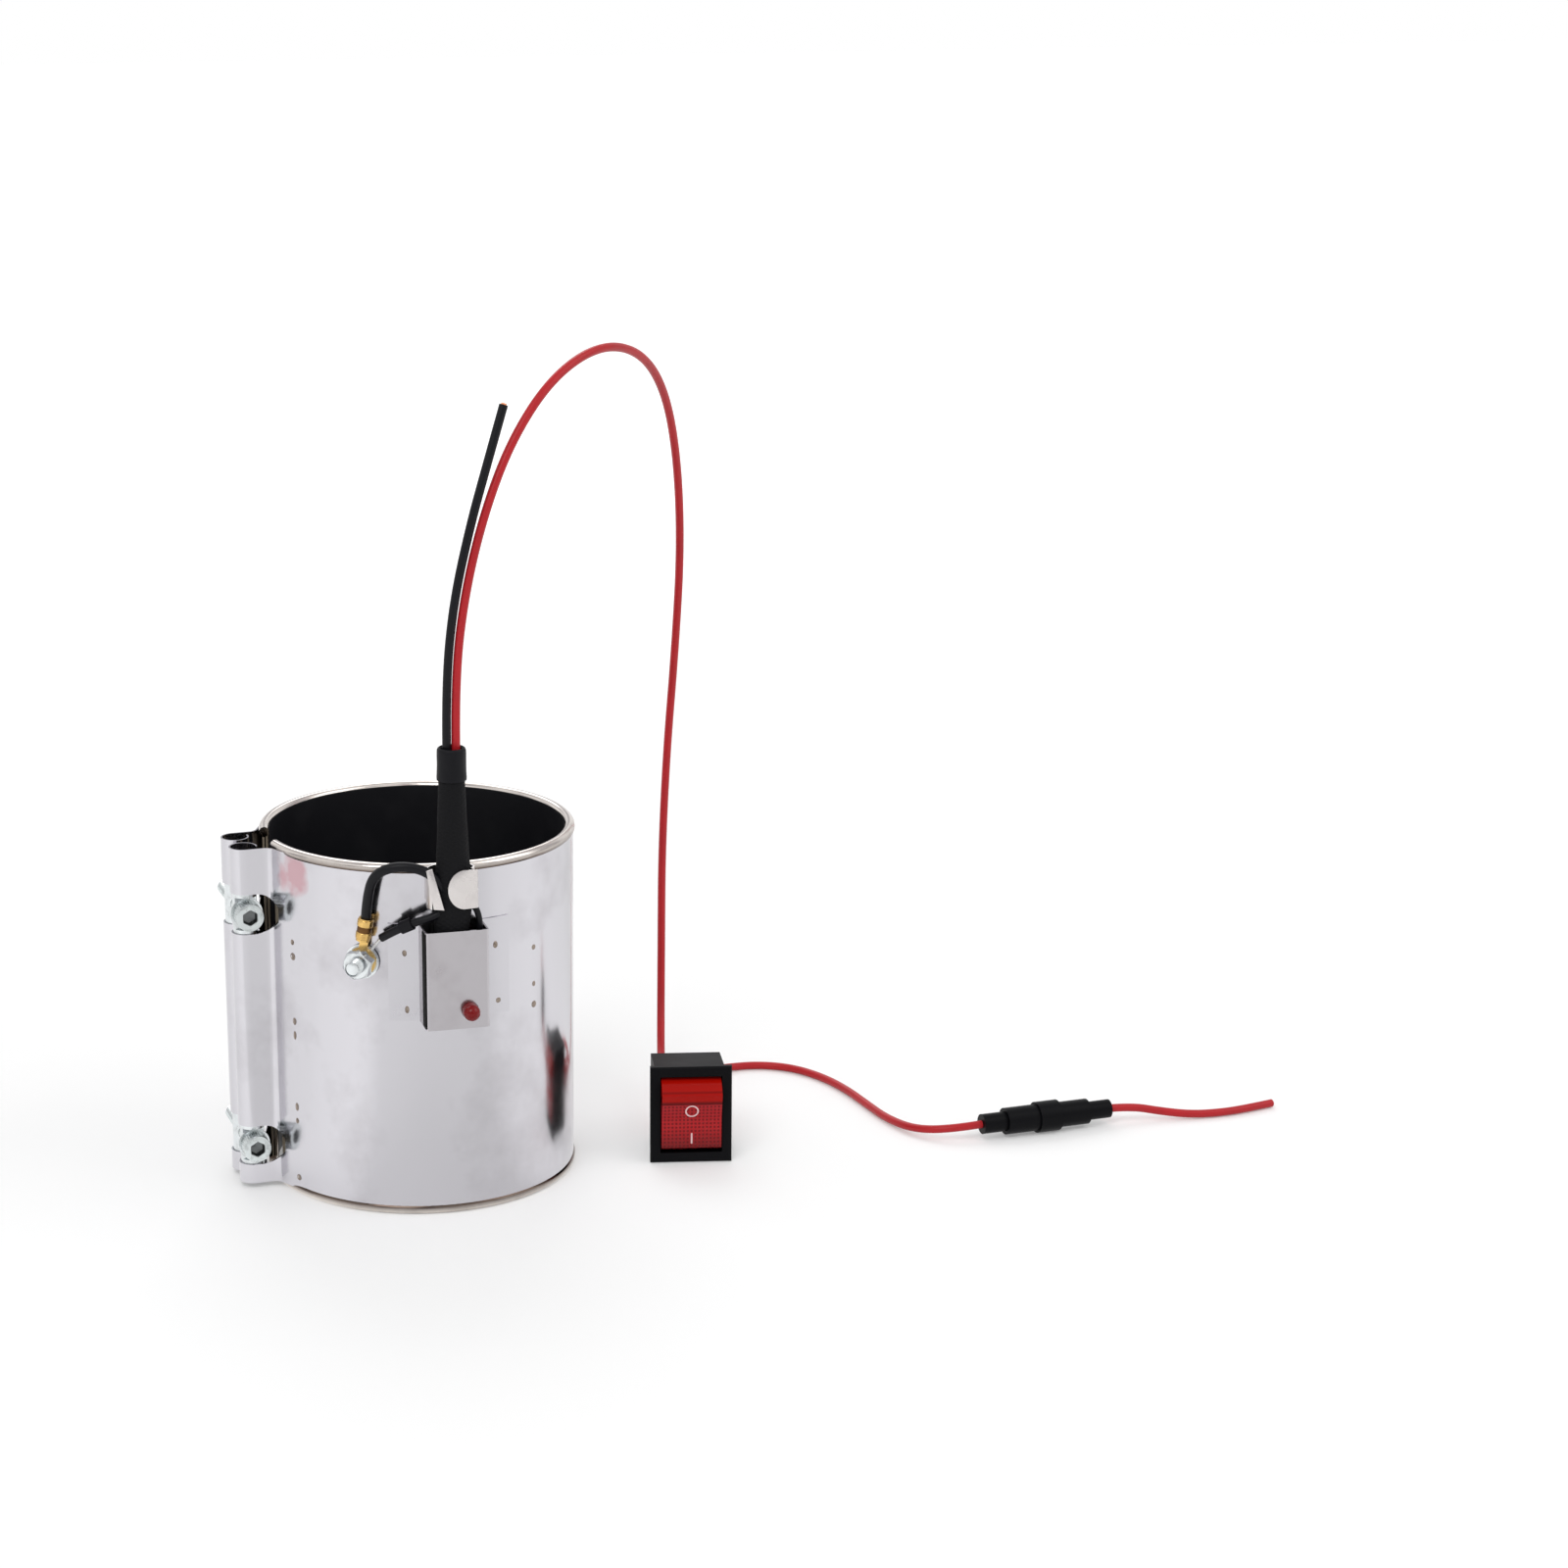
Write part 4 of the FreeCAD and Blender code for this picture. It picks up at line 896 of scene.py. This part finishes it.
# Dark brass for the groove between the crimp bands: painted shade in the recess.
groove_shade_brass = metal_material("groove_shade_brass", (0.16, 0.08, 0.03), (0.05, 0.025, 0.01), 0.9, 300.0, 0.4, 0.2)
for node in ("ring_terminal", "supply_blade", "load_blade", "body_contact", "cap_contact"):
    dress(node, brass)
crimp_turn = math.radians(80.0)
crimp_way = Vector((math.cos(crimp_turn), 0, math.sin(crimp_turn)))
stud_tip = Vector((0, -51.05, earth_height))


def crimp_ring(reach, radius, length, edge, segments, material):
    """A ring round the terminal's barrel, all in mm, at a reach from the stud."""
    bpy.ops.mesh.primitive_cylinder_add(vertices=32, radius=radius * MM, depth=length * MM)
    ring = bpy.context.object
    finish_with(ring, "BEVEL", width=edge * MM, segments=segments, angle_limit=math.radians(60))
    return set_down(ring, earth_turn @ along(crimp_way, stud_tip + crimp_way * reach), material)


crimp_bands = joined([crimp_ring(9.2, 2.35, 2.2, 0.35, 3, brass),
                      crimp_ring(13.1, 2.4, 2.2, 0.35, 3, brass)], "crimp_bands")
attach(crimp_bands, "heater")
# The groove ring between the bands carries the painted shade.
crimp_gap = crimp_ring(11.15, 2.18, 1.9, 0.1, 2, groove_shade_brass)
crimp_gap.name = "crimp_gap"
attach(crimp_gap, "heater")

# The indicator lamp: a clear red domed moulding, 5 mm across, that stands out through the hood's front.
# Its rim sits behind the sheet.

lamp_lens = skinned(
    "lamp_lens", moulded_skin,
    {"Color": (0.20, 0.001, 0.002, 1), "Grain": 200.0, "Gloss": 0.08, "Spread": 0.05},
    {"Specular IOR Level": 0.25, "Coat Weight": 0.05, "Coat Roughness": 0.03})[0]
dress("indicator_lamp", lamp_lens)

# The rocker switch: a black moulded case with a translucent red rocker, marked with a generic ring and
# bar. The rocker's lower three quarters are stippled with a moulded grid, and its top is plain.

black_moulding = moulded_material("black_moulding", (0.004, 0.004, 0.005), 500.0, 0.36, 0.15, specular=0.07)
for node in ("switch_body", "thermal_cutout"):
    dress(node, black_moulding)
bezel_height = 31.0
case_height = 28.0
case_depth = 20.0
lean = math.atan2((bezel_height - case_height) / 2, case_depth)
half_bezel = Vector((0, 0, bezel_height / 2 * MM))
switch_place = (Matrix.Translation((79 * MM, -30 * MM, bezel_height / 2 * MM))
                @ Matrix.Rotation(math.radians(-15), 4, "Z") @ Matrix.Translation(-half_bezel)
                @ Matrix.Rotation(-lean, 4, "X") @ Matrix.Translation(half_bezel))
rocker_pivot = Vector((0, 3.0 * MM, 0))
rocker_place = (switch_place @ Matrix.Translation(rocker_pivot) @ Matrix.Rotation(math.radians(10), 4, "X")
                @ Matrix.Translation(-rocker_pivot))

rocker_red, rocker_tree, rocker_shader = skinned(
    "rocker_red", moulded_skin, {"Grain": 300.0, "Gloss": 0.14, "Spread": 0.1},
    {"Specular IOR Level": 0.1, "Coat Weight": 0.06, "Coat Roughness": 0.1})[:3]
rocker_half = 12.5 * MM
stipple_pitch = 1.2 * MM
stipple_top = 5.4 * MM
rocker_spot = add_node(rocker_tree, "TexCoord").outputs["Object"]
rocker_frame = add_node(rocker_tree, "Mapping", vector_type="TEXTURE")
fill(rocker_tree, rocker_frame, {"Vector": rocker_spot, "Location": rocker_place.to_translation(),
                                 "Rotation": rocker_place.to_euler()})
rocker_axes = add_node(rocker_tree, "SeparateXYZ", {0: rocker_frame.outputs[0]}).outputs
rocker_face = add_node(rocker_tree, "CombineXYZ", {"X": rocker_axes["X"], "Y": rocker_axes["Z"]})
stipple = add_node(rocker_tree, "TexVoronoi", {
    "Vector": rocker_face.outputs[0], "Scale": 1 / stipple_pitch, "Randomness": 0.0},
    voronoi_dimensions="2D")
stipple_dots = add_node(rocker_tree, "MapRange", {
    "Value": stipple.outputs["Distance"], "From Min": 0.22, "From Max": 0.36, "To Min": 1.0,
    "To Max": 0.0})
stipple_part = math_step(rocker_tree, "LESS_THAN", rocker_axes["Z"], stipple_top)
stipple_amount = math_step(rocker_tree, "MULTIPLY", stipple_dots.outputs[0], stipple_part)
rocker_shades = add_node(rocker_tree, "MapRange", {"Value": rocker_axes["Z"], "From Min": -rocker_half,
                                                   "From Max": rocker_half})
rocker_ramp = add_node(rocker_tree, "ValToRGB", {"Fac": rocker_shades.outputs[0]})
set_stops(rocker_ramp.color_ramp, [
    (0.0, (0.11, 0.008, 0.010, 1)), (0.16, (0.22, 0.012, 0.014, 1)), (0.4, (0.46, 0.016, 0.020, 1)),
    (0.715, (0.42, 0.018, 0.024, 1)), (0.725, (0.12, 0.002, 0.003, 1)), (0.75, (0.16, 0.002, 0.002, 1)),
    (0.78, (0.42, 0.004, 0.001, 1)), (0.87, (0.38, 0.003, 0.001, 1)), (0.885, (0.20, 0.002, 0.001, 1)),
    (0.9, (0.40, 0.004, 0.001, 1))])
fill(rocker_tree, rocker_shader, {"Base Color": rocker_ramp.outputs["Color"]})
overlay(rocker_tree, (0.12, 0.006, 0.008), math_step(rocker_tree, "MULTIPLY", stipple_amount, 0.75))
join_bump(rocker_tree, rocker_shader, stipple_amount, 0.12 * MM)
dress("switch_rocker", rocker_red)

mark_paint = moulded_material("mark_paint", (0.80, 0.55, 0.55), 400.0, 0.4, 0.1)
dish_depth = 1.8
dish_reach = 12.1
dish_middle_y = -3.8
rocker_slope = math.atan2(dish_depth, dish_reach)


def on_rocker(height, sign):
    """A matrix that lays +Z on the rocker's sloping front at a height, in mm from its middle."""
    front_y = dish_middle_y - dish_depth * abs(height) / dish_reach
    return (rocker_place @ Matrix.Translation((0, front_y * MM, height * MM))
            @ Matrix.Rotation(math.radians(90) + sign * rocker_slope, 4, "X"))


ring_radius = 1.9 * MM
bar_length = 3.0 * MM
bpy.ops.mesh.primitive_torus_add(major_radius=ring_radius, minor_radius=0.24 * MM, major_segments=48,
                                 minor_segments=8)
ring_mark = bpy.context.object
ring_mark.scale = (1.0, 1.0, 0.3)
bpy.ops.object.transform_apply(scale=True)
ring_mark.name = "ring_mark"
bpy.ops.mesh.primitive_cylinder_add(vertices=16, radius=0.26 * MM, depth=0.14 * MM)
bar_mark = bpy.context.object
bpy.ops.object.mode_set(mode="EDIT")
pick(bar_mark, lambda place: place.y > 0.01 * MM)
bpy.ops.transform.translate(value=(0, bar_length, 0))
bpy.ops.mesh.select_all(action="SELECT")
bpy.ops.transform.translate(value=(0, -bar_length / 2, 0))
bpy.ops.object.mode_set(mode="OBJECT")
bar_mark.name = "bar_mark"
for mark, height, sign in ((ring_mark, 3.2, 1), (bar_mark, -6.0, -1)):
    set_down(mark, on_rocker(height, sign), mark_paint)
    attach(mark, "rocker")

# The push-on connectors behind the switch, in soft red vinyl, and the fuse holder, whose two black
# moulded ends close on each other.

red_vinyl = moulded_material("red_vinyl", (0.40, 0.008, 0.010), 400.0, 0.3, 0.15, coat=0.2)
for node in ("supply_connector", "load_connector"):
    dress(node, red_vinyl)
holder_moulding = moulded_material("holder_moulding", (0.003, 0.003, 0.004), 400.0, 0.3, 0.2, specular=0.08)
for node in ("fuse_body", "fuse_cap"):
    dress(node, holder_moulding)

# The glass fuse: a clear glass tube with metal caps, held between the holder's two contacts. It is
# hidden until the cap end is drawn off.

fuse_glass = skinned("fuse_glass", moulded_skin, {"Color": (0.8, 0.85, 0.85, 1), "Gloss": 0.05},
                     {"Transmission Weight": 0.6})[0]
dress("glass_fuse", fuse_glass)
